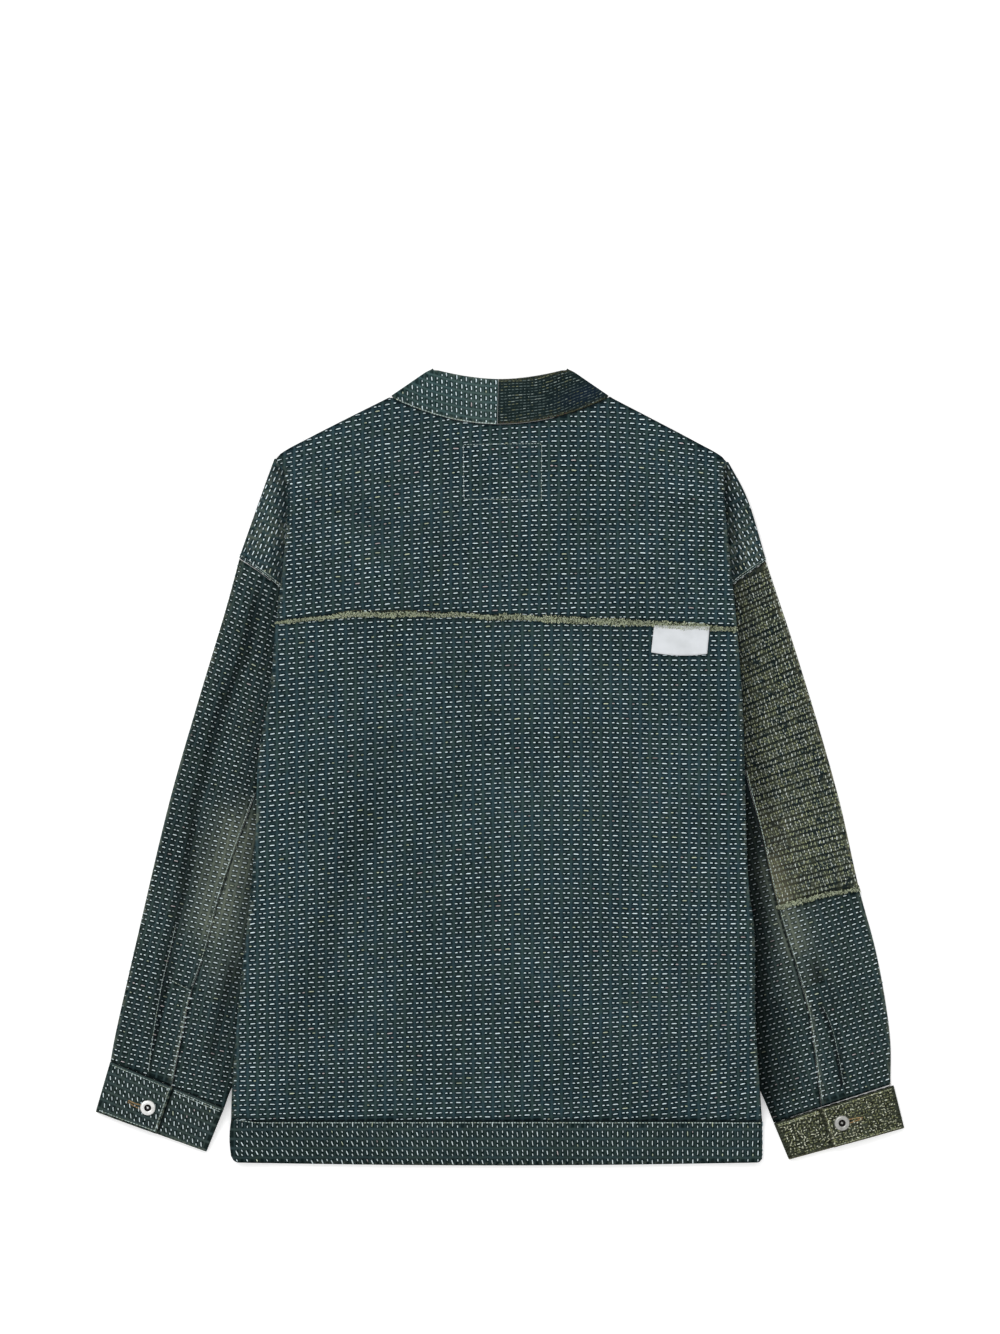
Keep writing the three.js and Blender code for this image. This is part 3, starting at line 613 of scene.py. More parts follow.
# The running thread: slightly twisted, off-white with some yellowed and some pinkish lengths.
thread, given, thread_out = node_group(
    "running thread", {"Pale": COLOUR, "Yellowed": COLOUR, "Rosy": COLOUR, "Odd": NUMBER,
                       "Shade": NUMBER},
    {"Color": COLOUR, "Height": NUMBER})
tint = thread.math("DIVIDE", thread.field("tint"), given["Odd"])  # Odd: the share of tinted lengths
shown = thread.blend(thread.math("LESS_THAN", tint, 1.0), given["Pale"], given["Yellowed"])
shown = thread.blend(thread.math("LESS_THAN", tint, 0.35), shown, given["Rosy"])
place = thread.add("ShaderNodeTexCoord").outputs["Object"]
fibres = thread.noise(place, 2600.0, 2.0)
shown = thread.blend(1.0, shown, thread.ease(thread.field("light"), 0.0, 1.0, 0.7, 1.15),
                     "MULTIPLY")
shown = thread.blend(1.0, shown, thread.ease(fibres, 0.3, 0.7, 0.82, 1.1), "MULTIPLY")
# painted shade: the cloth's shade field dims the thread lying in it too
dim = thread.minus(1.0, thread.times(given["Shade"], 0.8))
thread.put(thread_out.inputs["Color"], thread.blend(1.0, shown, dim, "MULTIPLY"))
thread.put(thread_out.inputs["Height"], fibres)


def thread_material(name, pale, yellowed, rosy, odd):
    material, nodes = new_material(name)
    yarn = group_node(nodes, "running thread", Pale=pale, Yellowed=yellowed, Rosy=rosy, Odd=odd,
                      Shade=nodes.field("shade"))
    surface(nodes, yarn["Color"], 0.85, yarn["Height"], 0.12, Specular_IOR_Level=0.1)
    return material


pale_thread = thread_material(
    "pale_running_thread", (0.69, 0.82, 0.86), (0.54, 0.61, 0.46),
    (0.54, 0.49, 0.50), 0.04)
worn_thread = thread_material(
    "worn_running_thread", (0.60, 0.70, 0.72), (0.48, 0.55, 0.42),
    (0.48, 0.44, 0.45), 0.04)


DASH_SUNK = 0.12
DASH_FACES = np.array([(0, 1, 2), (0, 2, 3), (1, 4, 5), (1, 5, 2), (2, 5, 6), (2, 6, 3), (4, 7, 5),
                       (5, 7, 6)])


def dashes(name, ends, surface_at, material, width=DASH_WIDTH, height=DASH_HEIGHT, seed=1,
           paint=None, arch=0.14, slot="indigo_cloth"):
    """Stitches lying on a cloth, as one mesh. ends is (count, 2, 2): where each goes in and out.
    arch is how far its middle stands up the cloth from its ends, as the thread pulls."""
    rng = np.random.default_rng(seed)
    count = len(ends)
    stations = np.array([0, 0.2, 0.8, 1])[None, :, None]
    flat = ends[:, None, 0] * (1 - stations) + ends[:, None, 1] * stations
    pulled = unit((ends[:, 1] - ends[:, 0])[:, ::-1] * (-1, 1))
    flat[:, 1:3] += pulled[:, None] * (arch * rng.uniform(0.3, 1.7, count))[:, None, None]
    places, normals = surface_at(flat[..., 0], flat[..., 1])
    across = unit(np.cross(normals, unit(places[:, 3] - places[:, 0])[:, None]))
    half = width / 2 * rng.uniform(0.88, 1.1, count)[:, None]
    rise = height * rng.uniform(0.85, 1.12, count)[:, None]
    sunk = places - DASH_SUNK * normals
    waist = [point for k in (1, 2) for point in (
        sunk[:, k] - across[:, k] * half, places[:, k] + normals[:, k] * rise,
        sunk[:, k] + across[:, k] * half)]
    verts = np.stack([sunk[:, 0], *waist, sunk[:, 3]], 1)
    faces = (np.arange(count)[:, None, None] * 8 + DASH_FACES).reshape(-1, 3)
    middle = places[:, 1]
    cloudy = rumple(middle[:, 0], middle[:, 1], 60, seed)
    fields = {"tint": rng.uniform(0, 1, count),
              "light": 0.65 * rng.uniform(0, 1, count) + 0.35 * cloudy}
    if paint:
        fields |= paint(*middle.T)
    fields = {field: np.repeat(np.broadcast_to(values, count), 8)
              for field, values in fields.items()}
    lowest, widest = verts[..., :2].min((0, 1)), np.ptp(verts[..., :2], axis=(0, 1)).max()
    spread = ((verts[..., :2] - lowest) / widest).reshape(-1, 2)
    piece = new_piece(name, verts.reshape(-1, 3), faces.tolist(), material, "OFBake", spread,
                      fields)
    return fasten(piece, slot)


def laid_on(middle, lift, up=1):
    """Turns a cloth's middle surface into places on its face and their normals."""
    def at(x, y):
        step = 0.4
        here = middle(x, y)
        normal = np.cross(middle(x + step, y) - middle(x - step, y),
                          middle(x, y + step) - middle(x, y - step))
        normal = up * unit(normal)
        return here + normal * lift, normal
    return at


def within(outline, x, y):
    """Whether each place is inside a closed outline."""
    found = np.zeros(np.shape(x), bool)
    for (ax, ay), (bx, by) in zip(outline, np.roll(outline, -1, 0)):
        crosses = (ay > y) != (by > y)
        found ^= crosses & (x < ax + (bx - ax) * (y - ay) / (by - ay + 1e-12))
    return found


def running_stitch(outline, rows=None, cell=CELL, angle=0.0, origin=(0, 0), slip=None, lean=None,
                   seed=1, pairs=True, loose=1.0):
    """Ends of the dashes that fill an outline. rows(u, v) lifts a row at u along it and slip(v)
    slides it; angle, in degrees, turns the rows, and lean(u, v) the dashes in them."""
    rng = np.random.default_rng(seed)
    outline = np.array(outline, float)
    ahead, aside = weave_axes(angle)
    u, v = outline @ ahead, outline @ aside
    spare = 60 if rows or slip else cell[0]
    i = np.arange(math.floor((u.min() - spare) / cell[0]),
                  math.ceil((u.max() + spare) / cell[0]) + 1)
    j = np.arange(math.floor((v.min() - spare) / cell[1]),
                  math.ceil((v.max() + spare) / cell[1]) + 1)
    i, j = (grid.ravel() for grid in np.meshgrid(i, j))
    u, v = (i + 0.5) * cell[0] + origin[0], (j + 0.5) * cell[1] + origin[1]
    long = (i + j) % 2 == 0 if pairs else np.ones(len(i), bool)
    scale = cell[0] / CELL[0]
    u = np.concatenate([u[long], u[~long] - SHORT_APART * scale, u[~long] + SHORT_APART * scale])
    v = np.concatenate([v[long], v[~long], v[~long]])
    length = np.concatenate([np.full(long.sum(), LONG_DASH),
                             np.full(2 * (~long).sum(), SHORT_DASH)])
    length = length * scale * rng.uniform(0.9, 1.1, len(u))
    u = u + rng.normal(0, 0.16 * loose, len(u))
    v = v + rng.normal(0, 0.13 * loose, len(v))
    if slip:
        u = u + slip(v)
    tilt = rng.normal(0, 0.05 * loose, len(u))
    if lean:
        tilt = tilt + np.radians(lean(u, v))
    if rows:
        start = v
        for _ in range(4):
            v = start + rows(u, v)
        tilt = tilt + (rows(u + 1, v) - rows(u - 1, v)) / 2
    centre = u[:, None] * ahead + v[:, None] * aside
    along = np.cos(tilt)[:, None] * ahead + np.sin(tilt)[:, None] * aside
    half = along * length[:, None] / 2
    keep = within(outline, centre[:, 0], centre[:, 1])
    return np.stack([centre - half, centre + half], 1)[keep]


left.fold_shade, right.fold_shade = 0.75, 0.95  # painted shadow on the dropped shoulders, beside the folds


def back_paint(x, y, z):
    """Painted shade in the creases, along the neck and hem seams, a little more lower down and
    beside the side folds, and the pale rubbed line along the side folds.
    """
    edge = on_side(x, lambda side: side.fold_x(y))
    wear = smooth(np.abs(x), edge - 4.5, edge - 1) * rumple(x, y, 60, 8)
    # painted shadow along the neck seam under the collar and above the hem seam
    seam = 0.4 * np.exp(-((y - top_of_back(x)) / 3) ** 2) + 0.5 * np.exp(-((y - HEM_Y) / 3) ** 2)
    # painted shade, a little darker lower down the back
    low = 0.1 * smooth(-y, 60, 330)
    shade = np.maximum(troughs(BACK_CREASES, x, y)[1], seam + low)
    # painted shadow that the side folds cast on the dropped shoulders
    beside = on_side(x, lambda side: side.fold_shade * np.exp(-((np.abs(x) - edge) / 10) ** 2))
    on_wedge = (np.abs(x) > edge + 0.5) & (y > 150) & (y < 285)
    return {"fade": 0.0, "wear": 0.6 * wear, "shade": np.where(on_wedge, beside, shade)}


def folded_under(reach, tuck):
    """Places of a row beyond a fold: round the turn and on in under it."""
    turned = reach + np.linspace(0, 1, 7)[1:] * math.pi * TURN
    return np.concatenate([turned, turned[-1] + np.linspace(0, 1, 9)[1:] * max(reach - tuck, 1)])


def back_grid(shares, lower, upper, weave):
    """Grid of the back between two seams: across it, round the side folds and in under them."""
    flat = np.linspace(-1, 1, 121)
    rows, uvs = [], []
    for t in shares:
        ends = {side: lerp(lower(side.corner), upper(side.corner), t) for side in SIDES}
        reach = {side: float(fold_reach(side, ends[side])) for side in SIDES}
        x = lerp(-reach[left], reach[right], (flat + 1) / 2)
        y = lerp(lower(x), upper(x), t)
        y[0], y[-1] = ends[left], ends[right]
        folds = {side: side.sign * folded_under(reach[side], float(tuck_x(side, ends[side])))
                 for side in SIDES}
        x = np.concatenate([folds[left][::-1], x, folds[right]])
        side_y = [np.full(len(folds[side]), ends[side]) for side in SIDES]
        y = np.concatenate([side_y[0], y, side_y[1]])
        row = back_place(x, y)
        folded = {left: slice(0, len(folds[left])), right: slice(-len(folds[right]), None)}
        for side, part in folded.items():
            if ends[side] > side.point[1] - FOLD_START + 0.01:
                row[part] = np.nan
        rows.append(row)
        uvs.append(cells_at(x, y, **weave))
    return grid_wall(np.array(rows), np.array(uvs))


DROP_START = 0.003
UNDER_PANEL = 8  # how far the wedge reaches in under the panel's edge at the shoulder point
left.drop_weave = {"cell": (9.0, 4.3), "angle": 67}
right.drop_weave = {"cell": (9.0, 4.3), "angle": 118}


def dropped_shoulder(side, panel_z, layer):
    """The wedge from the shoulder point to the armhole, beside the sleeve and under the fold."""
    (point_x, point_y), (arm_x, arm_y) = side.point, UNDERARM
    t = np.linspace(0, 1, 26)[:, None]
    across = np.linspace(0, 1, 22)[None, :]
    along = lerp(DROP_START, 1, t ** 1.3)
    outer = side.shoulder_curve(along[:, 0])[:, None]
    hem = side.armhole_curve(1 - across[0])[None]
    ends = side.armhole_curve(0)
    inner_y = lerp(point_y, arm_y, along)
    inner_x = np.minimum(lerp(point_x, arm_x, along), side.fold_x(inner_y) - UNDER_PANEL)
    x = lerp(inner_x, outer[..., 0], across)
    y = lerp(inner_y, outer[..., 1], across)
    x = x + along * (hem[..., 0] - lerp(arm_x, ends[0], across))
    y = y + along * (hem[..., 1] - lerp(arm_y, ends[1], across))
    tucked = sleeve_level(side, x, y) + layer * TURN
    z = lerp(panel_z, tucked, fold_formed(side, y))
    uv = cells_at(side.sign * x, y, **side.drop_weave)
    return mirrored(side, grid_wall(np.stack([x, y + SEAM * along, z], -1), uv))


yoke_weave = {"origin": (0, 1.2), "rows": sloping_rows(YOKE_SLOPES)}
panel_weave = {"origin": (2.6, 0), "rows": sloping_rows(PANEL_SLOPES)}
DROP_STEP = 0.2
yoke_rows = np.concatenate([np.linspace(0, 0.72, 26), np.linspace(0.74, 1, 18)])
yoke = cloth_object(
    "yoke", "back_yoke", [
        back_grid(yoke_rows, yoke_seam_y, top_of_back, yoke_weave),
        *(dropped_shoulder(side, BACK_Z - DROP_STEP, 1) for side in SIDES),
    ], indigo_cloth, back_paint)


def back_outline(lower, upper, margin):
    """Outline of the back between two seams, reaching a little way round the side folds."""
    sides = []
    for side in SIDES:
        top = min(upper(side.corner), side.point[1])
        y = np.linspace(lower(side.corner) + margin, top - margin, 60)
        sides.append(np.stack([side.sign * (fold_reach(side, y) + 1.2), y], -1))
    x = np.linspace(-205, 205, 90)
    top = np.stack([x, upper(x) - margin], -1)
    bottom = np.stack([x, lower(x) + margin], -1)
    return np.concatenate([bottom, sides[1], top[::-1], sides[0][::-1]])


EDGE_CLEAR = 1.6  # from a seam to the middle of the first dashes
yoke_stitches = dashes(
    "yoke_stitches",
    running_stitch(back_outline(yoke_seam_y, top_of_back, EDGE_CLEAR), seed=11, **yoke_weave),
    laid_on(back_place, CLOTH / 2), pale_thread, seed=12, paint=back_paint)


def wedge_outline(side):
    t = np.linspace(0, 1, 40)
    y = lerp(side.point[1] - 3, side.armhole_curve(1 - t)[..., 1].max() - 40, t)
    fold = np.stack([side.fold_x(y) - 4, y], -1)
    hem = side.armhole_curve(np.linspace(0, 0.5, 20))[::-1] + (0, EDGE_CLEAR)
    outer = side.shoulder_curve(t[::-1]) - (0.4, 0)
    return np.concatenate([fold, hem, outer]) * (side.sign, 1)


def wedge_place(side):
    def at(x, y):
        tucked = sleeve_level(side, x, y) + TURN
        return np.stack([x, y, lerp(BACK_Z - DROP_STEP, tucked, fold_formed(side, y))], -1)
    return at


def wedge_paint(side):
    def paint(x, y, z):
        # painted shadow that the back's fold casts on the dropped shoulder beside it
        near = np.exp(-((np.abs(x) - side.fold_x(y)) / 10) ** 2)
        return {"fade": 0.0, "wear": 0.0, "shade": side.fold_shade * near}
    return paint


for side in SIDES:
    drop_stitches = dashes(
        f"dropped_shoulder_stitches_{side.name}",
        running_stitch(wedge_outline(side), seed=21, **side.drop_weave),
        laid_on(wedge_place(side), CLOTH / 2), pale_thread, seed=22, paint=wedge_paint(side))

# ---- Back panel ----
# The lower back, from the yoke's seam to the hem band, of the same cloth, its sides folded under.


def below_yoke(x):
    return yoke_seam_y(x) - SEAM


def hem_seam(x):
    """The hem band's seam, which is drawn up a little at its left end."""
    return HEM_Y + 3.4 * smooth(-np.asarray(x, float), 226, 254) ** 1.5


panel = cloth_object(
    "back_lower_panel", "back_panel",
    [back_grid(np.linspace(0, 1, 110), hem_seam, below_yoke, panel_weave)],
    indigo_cloth, back_paint)
panel_stitches = dashes(
    "back_panel_stitches",
    running_stitch(back_outline(hem_seam, below_yoke, EDGE_CLEAR), seed=31, **panel_weave),
    laid_on(back_place, CLOTH / 2), pale_thread, seed=32, paint=back_paint)

# ---- Fronts ----
# Two fronts of the same cloth, underneath. Their shoulders fold over at the sides, inside the
# back's folds, and their front edges are sewn into the collar band.

BAND_SEAM = [(-379, 45), (95, 45), (155, 52.5), (255, 78), (349.6, 101.7)]  # y, x
COLLAR_FOLD_NECK, COLLAR_FOLD_TOP = (101.7, 349.6), (63.4, 376.8)
UNDER_HEIGHT = 0.17  # stitches that the jacket's weight presses flat
band_seam_x = through(BAND_SEAM)
front_weave = {"origin": (1.0, 2.0)}


def front_place(x, y):
    """The middle of a front's cloth, round and over its side fold."""
    across, flat, angle = round_fold(x, y)
    height = FRONT_Z + TURN * (1 - np.cos(angle))
    return np.stack([across * (flat + TURN * np.sin(angle)), y + 0 * x, height], -1)


def front_wall(side):
    rows, uvs = [], []
    for t in np.concatenate([np.linspace(0, 0.88, 60), np.linspace(0.9, 1, 10)]):
        seam_y = lerp(HEM_Y, COLLAR_FOLD_NECK[1], t)
        y = lerp(HEM_Y, side.point[1], t)
        reach, tuck = float(fold_reach(side, y)), float(tuck_x(side, y))
        s = np.linspace(0, 1, 40)
        across = lerp(band_seam_x(seam_y) + 2 * SEAM, reach, s)
        x = np.concatenate([across, folded_under(reach, tuck)])
        rise = np.concatenate([lerp(seam_y, y, s), np.full(len(x) - len(s), y)])
        row = front_place(x, rise)
        if y > side.point[1] - FOLD_START + 0.01:
            row[len(s):] = np.nan
        rows.append(row)
        uvs.append(cells_at(side.sign * x, rise, **front_weave))
    return mirrored(side, grid_wall(np.array(rows), np.array(uvs)))


def front_outline(side):
    y = np.linspace(HEM_Y + EDGE_CLEAR, 348, 60)
    inner = np.stack([band_seam_x(y) + 2, y], -1)
    y = np.linspace(side.point[1] - 2, HEM_Y + EDGE_CLEAR, 60)
    outer = np.stack([fold_reach(side, y) + 1, y], -1)
    return np.concatenate([inner, outer]) * (side.sign, 1)


left.front_cut, right.front_cut = (0.340, 0.174), (0.360, 0.182)  # width and area, in metres
for side in SIDES:
    walls = [front_wall(side), dropped_shoulder(side, FRONT_Z + DROP_STEP, -1)]
    front = cloth_object(f"front_cloth_{side.name}", f"front_{side.name}", walls, indigo_cloth)
    front_stitches = dashes(
        f"front_stitches_{side.name}", running_stitch(front_outline(side), seed=41, **front_weave),
        laid_on(front_place, CLOTH / 2, -1), pale_thread, height=UNDER_HEIGHT, seed=42)

# ---- Sleeves ----
# Wide straight sleeves, each a flat tube of an outer and an under piece, joined by a lapped seam
# down the back of the arm. They are bleached at the elbows and creased down to the cuffs.

EDGE = 1.9  # from a sleeve's edge to the start of its turn
BULGE = 5
left.sleeve_edge = [(247.5, 197), (259, 154), (286, 64), (313, -30), (343, -156), (366, -258),
                    (370, -280)]
left.sleeve_inside = [UNDERARM, (165, -145), (254.5, -306), (261.5, -324.5)]
left.back_seam = [
    (-305, 312), (-251, 301), (-212, 292.5), (-182, 282), (-122, 266), (-16, 229), (60, 203),
    (130, 150)]
right.sleeve_edge = [
    (252.5, 194.5), (283, 102), (321, -28), (341, -116), (358, -180), (370.5, -258), (371, -302.2)]
right.sleeve_inside = [UNDERARM, (165, -145), (247.5, -310), (259.5, -338.5)]
right.back_seam = [(-320, 305), (-228, 291.5), (-134, 264), (-37, 241), (60, 210), (130, 160)]
left.sleeve_creases = [
    ([(223, 192), (233, 150), (243, 106), (267, 49), (290, -37), (300, -114), (315, -180),
      (325, -251), (331, -290)], 6.5, 2.5),
    ([(252, -180), (264, -230), (277, -284)], 7, 1.4),
    ([(281, 60), (300, -20), (322, -110)], 10, 0.8),
]
right.sleeve_creases = [
    ([(296, -180), (303, -208), (315, -251), (321, -280), (325, -305)], 6, 2.4),
    ([(244, 20), (262, -60), (276, -130)], 9, 1.0),
    ([(262, -215), (270, -262), (276, -318)], 9, 1.0),
]
left.bleach = [([(247, -64), (259, -102), (270, -146)], 24, 0.95),
               ([(240, -140), (262, -190)], 22, 0.3)]
right.bleach = [([(257, -96), (267, -124), (279, -168)], 15, 0.95),
                ([(258, -60), (285, -200)], 24, 0.25)]
# painted shadow that the body's side folds cast on each sleeve
left.body_shade, right.body_shade = 0.35, 1.2
for side in SIDES:
    side.outer_curve = curve(side.sleeve_edge)
    side.inner_curve = curve(side.sleeve_inside)
    side.seam_x = through(side.back_seam)
left.sleeve_weave = {
    "cell": (7.7, 4.7), "angle": -15, "rows": lambda u, v: -0.2 * (u + 270) * smooth(v, -160, 90)}
right.sleeve_weave = {"cell": (7.7, 4.7), "angle": 18}
left.under_weave = {"cell": (7.7, 4.7), "angle": -12, "origin": (2, 3)}
right.under_weave = {"cell": (7.7, 4.7), "angle": 17, "origin": (2, 3)}


def sleeve_place(side, s, a):
    """A place on a flat sleeve: s runs from armhole to cuff, a from outer edge to inside."""
    outer, inner = side.outer_curve(s), side.inner_curve(s)
    across = inner - outer
    across = across / np.linalg.norm(across, axis=-1, keepdims=True)
    a = np.asarray(a)[..., None]
    start, end = outer + across * EDGE, inner - across * EDGE
    hole = side.armhole_curve(a[..., 0]) - lerp(side.armhole_curve(0), side.armhole_curve(1), a)
    return lerp(start, end, a) + hole * np.maximum(0, 1 - np.asarray(s) * BULGE)[..., None], across


def seam_shares(side):
    """Where the back seam crosses the sleeve, as a share of its width, as a function of s."""
    s = np.linspace(0, 1, 200)
    low, high = np.zeros(200), np.ones(200)
    for _ in range(30):
        a = (low + high) / 2
        place, _across = sleeve_place(side, s, a)
        past = place[:, 0] > side.seam_x(place[:, 1])
        low, high = np.where(past, a, low), np.where(past, high, a)
    return lambda at: np.interp(at, s, low)


def width_at(side, s):
    return np.linalg.norm(side.outer_curve(s) - side.inner_curve(s), axis=-1)


def outer_edge(side, y):
    return np.interp(-y, -side.edge_y, side.edge_x)


def sleeve_relief(side, x, y):
    """Creases and unevenness of a sleeve's upper layer, x as the distance from the middle line."""
    clear = smooth(x - side.fold_x(y), 3, 14) * smooth(y, HEM_Y + 4, HEM_Y + 40)
    edge = smooth(outer_edge(side, y) - x, 0, 9)
    return (troughs(side.sleeve_creases, x, y)[0] + 1.0 * rumple(x, y, 90, 5)) * clear * edge


def sleeve_point(side, s, a, angle):
    place, across = sleeve_place(side, s, a)
    middle = sleeve_level(side, place[..., 0], place[..., 1])
    relief = sleeve_relief(side, place[..., 0], place[..., 1]) * np.maximum(np.sin(angle), 0)
    inward = np.where(np.asarray(a) > 0.5, 1, -1) * TURN * np.cos(angle)
    flat = place + across * inward[..., None]
    return np.concatenate([flat, (middle + TURN * np.sin(angle) + relief)[..., None]], -1)


for side in SIDES:
    side.seam_share = seam_shares(side)
    starts = sleeve_place(side, np.linspace(0, 1, 300), np.zeros(300))[0]
    side.edge_x, side.edge_y = starts[:, 0], starts[:, 1]


# Steps round a rolled edge, from its top down.
HALF_TURN = np.radians(np.linspace(90, -90, 9))[1:-1]
SLEEVE_COLUMNS = 26  # across each layer


def sleeve_columns():
    """The columns round a sleeve piece: each is its share of the way to the seam and its angle."""
    flat, up = np.linspace(0, 1, SLEEVE_COLUMNS), np.full(SLEEVE_COLUMNS, math.pi / 2)
    shares = np.concatenate([flat[::-1], 0 * HALF_TURN, flat])
    return shares, np.concatenate([-up, HALF_TURN[::-1], up])


def woven_wall(side, points, weave, thickness=CLOTH):
    """A wall drawn with x as the distance from the middle line, put on its side."""
    uv = cells_at(side.sign * points[..., 0], points[..., 1], **weave)
    return mirrored(side, grid_wall(points, uv, thickness))


def sleeve_wall(side, edge, s_grid, weave):
    """Wall of the outer piece, where edge is 0, or of the under piece, where it is 1."""
    shares, angles = sleeve_columns()
    seam = side.seam_share(s_grid) + (0.5 if edge else -0.5) * SEAM / width_at(side, s_grid)
    angles = np.broadcast_to(angles, s_grid.shape)
    return woven_wall(side, sleeve_point(side, s_grid, lerp(edge, seam, shares), angles), weave)


def sleeve_top(side):
    """The middle of a sleeve's upper layer. Past the outer edge, x goes on round the turn."""
    def at(x, y):
        away = np.abs(x)
        start = outer_edge(side, y)
        lean = (outer_edge(side, y - 4) - outer_edge(side, y + 4)) / 8
        cosine = 1 / np.hypot(1, lean)
        angle = np.clip((away - start) * cosine / TURN, 0, math.pi)
        out = np.minimum(away, start) + TURN * np.sin(angle) / cosine
        relief = sleeve_relief(side, np.minimum(away, start), y)
        z = sleeve_level(side, out, y) + TURN * np.cos(angle) + relief
        return np.stack([side.sign * out, y + 0 * x, z], -1)
    return at


def sleeve_bottom(side):
    return lambda x, y: np.stack([x, y + 0 * x, sleeve_level(side, np.abs(x), y) - TURN], -1)


def sleeve_paint(side):
    def paint(x, y, z):
        away = np.abs(x)
        bleach = np.zeros(np.shape(x))
        for line, width, strength in side.bleach:
            near = np.exp(-(distance(line, away, y)[0] / width) ** 2)
            bleach = np.maximum(bleach, strength * near)
        bleach = bleach * (0.75 + 0.4 * rumple(x, y, 30, 17))
        # painted shadow beside the body's fold, and painted shade in the creases
        near = side.body_shade * np.exp(-(np.maximum(away - side.fold_x(y), 0) / 19) ** 2)
        shade = np.minimum(1.5 * troughs(side.sleeve_creases, away, y)[1] + near * (y < 190), 1)
        edge = outer_edge(side, y)
        return {"fade": bleach, "shade": shade, "wear": 0.45 * smooth(away, edge - 3, edge + 1)}
    return paint


def sleeve_outline(side, edge, first=0.0, last=1.0):
    """Outline of what shows of a sleeve piece between two shares of its length."""
    s = np.linspace(first, last, 60)
    gap = (1 if edge else -1) * EDGE_CLEAR / width_at(side, s)
    seam = sleeve_place(side, s, side.seam_share(s) + gap)[0]
    rim = sleeve_place(side, s, np.full(60, float(edge)))[0] + ((0, 0) if edge else (1.3, 0))
    t = np.linspace(0, 1, 20)
    ends = [lerp(side.seam_share(at), edge, t) for at in (last, first)]
    low = sleeve_place(side, np.full(20, last), ends[0])[0] + (0, EDGE_CLEAR)
    top = sleeve_place(side, np.full(20, first + 0.004), ends[1][::-1])[0] - (0, EDGE_CLEAR)
    return np.concatenate([seam, low, rim[::-1], top]) * (side.sign, 1)


ARMHOLE = 0.0005  # share of a sleeve's length that the armhole's seam takes
whole_length = np.linspace(ARMHOLE, 1, 120)[:, None] * np.ones(len(sleeve_columns()[0]))


def sleeve_cloth(side, node, edge, places, weave):
    wall = sleeve_wall(side, edge, places, weave)
    return cloth_object(f"{node}_cloth", node, [wall], worn_indigo, sleeve_paint(side))


left_outer = sleeve_cloth(left, "sleeve_left_outer", 0, whole_length, left.sleeve_weave)
left_under = sleeve_cloth(left, "sleeve_left_under", 1, whole_length, left.under_weave)
right_under = sleeve_cloth(right, "sleeve_right_under", 1, whole_length, right.under_weave)

PATCH_EDGE = [(240, -140), (273, -131), (307, -121), (341, -116)]
patch_edge_y = through(PATCH_EDGE)


def patch_end(beyond):
    """Where each column of the right sleeve's outer piece crosses the olive cloth's raw edge."""
    shares, angles = sleeve_columns()
    low, high = np.zeros(len(shares)), np.ones(len(shares))
    for _ in range(30):
        s = (low + high) / 2
        a = (right.seam_share(s) - 0.5 * SEAM / width_at(right, s)) * shares
        place = sleeve_point(right, s, a, angles)
        above = place[:, 1] > patch_edge_y(place[:, 0]) + beyond
        low, high = np.where(above, s, low), np.where(above, high, s)
    return low


below_patch = lerp(patch_end(-SEAM)[None], 1.0, np.linspace(0, 1, 60)[:, None])
right_outer = sleeve_cloth(right, "sleeve_right_outer", 0, below_patch, right.sleeve_weave)


def stitch_sleeve(side, name, outline, weave, seed):
    upper = dashes(
        f"{name}_stitches", running_stitch(outline, seed=seed, **weave),
        laid_on(sleeve_top(side), CLOTH / 2), worn_thread, seed=seed + 1, paint=sleeve_paint(side),
        arch=0.3)
    lower = dashes(
        f"{name}_underside_stitches", running_stitch(outline, seed=seed, **weave),
        laid_on(sleeve_bottom(side), CLOTH / 2, -1), pale_thread, height=UNDER_HEIGHT,
        seed=seed + 2)
    return [upper, lower]


patch_ends_at = float(patch_end(0)[-1])
sewn = stitch_sleeve(left, "sleeve_left_outer", sleeve_outline(left, 0), left.sleeve_weave, 51)
sewn = stitch_sleeve(left, "sleeve_left_under", sleeve_outline(left, 1), left.under_weave, 54)
sewn = stitch_sleeve(right, "sleeve_right_under", sleeve_outline(right, 1), right.under_weave, 57)


def below_the_patch(outline):
    """Keeps only the part of an outline that is below the patch's raw edge."""
    y = np.minimum(outline[:, 1], patch_edge_y(outline[:, 0]) - 5)
    return np.stack([outline[:, 0], y], -1)


sewn = stitch_sleeve(
    right, "sleeve_right_outer", below_the_patch(sleeve_outline(right, 0, patch_ends_at * 0.7)),
    right.sleeve_weave, 61)

# ---- Olive patch ----
# The upper part of the right sleeve's outer piece is a coarser olive cloth: chains of pale dashes
# along the arm with duller ones between them. Dark ribs cross the arm and part them into wide
# bands of three dashes and narrow, darker ones of a single longer dash. Its lower edge is raw.

BAND_OF_PATCH = 14.6  # a wide band and a narrow one
NARROW_FROM = 9.4
CHAINS_APART = 4.1
PATCH_ANGLE = 18
PATCH_LINES = np.array([1.8, 4.6, 7.5, 11.9])  # middles of a band's dashes


def patch_slope(u, v):
    """The ribs are steeper at the top of the arm than at the raw edge."""
    return (u - 275) * lerp(-0.055, 0.12, smooth(v, -200, 60))


patch_weave = {"cell": (CHAINS_APART, BAND_OF_PATCH), "angle": PATCH_ANGLE, "rows": patch_slope}

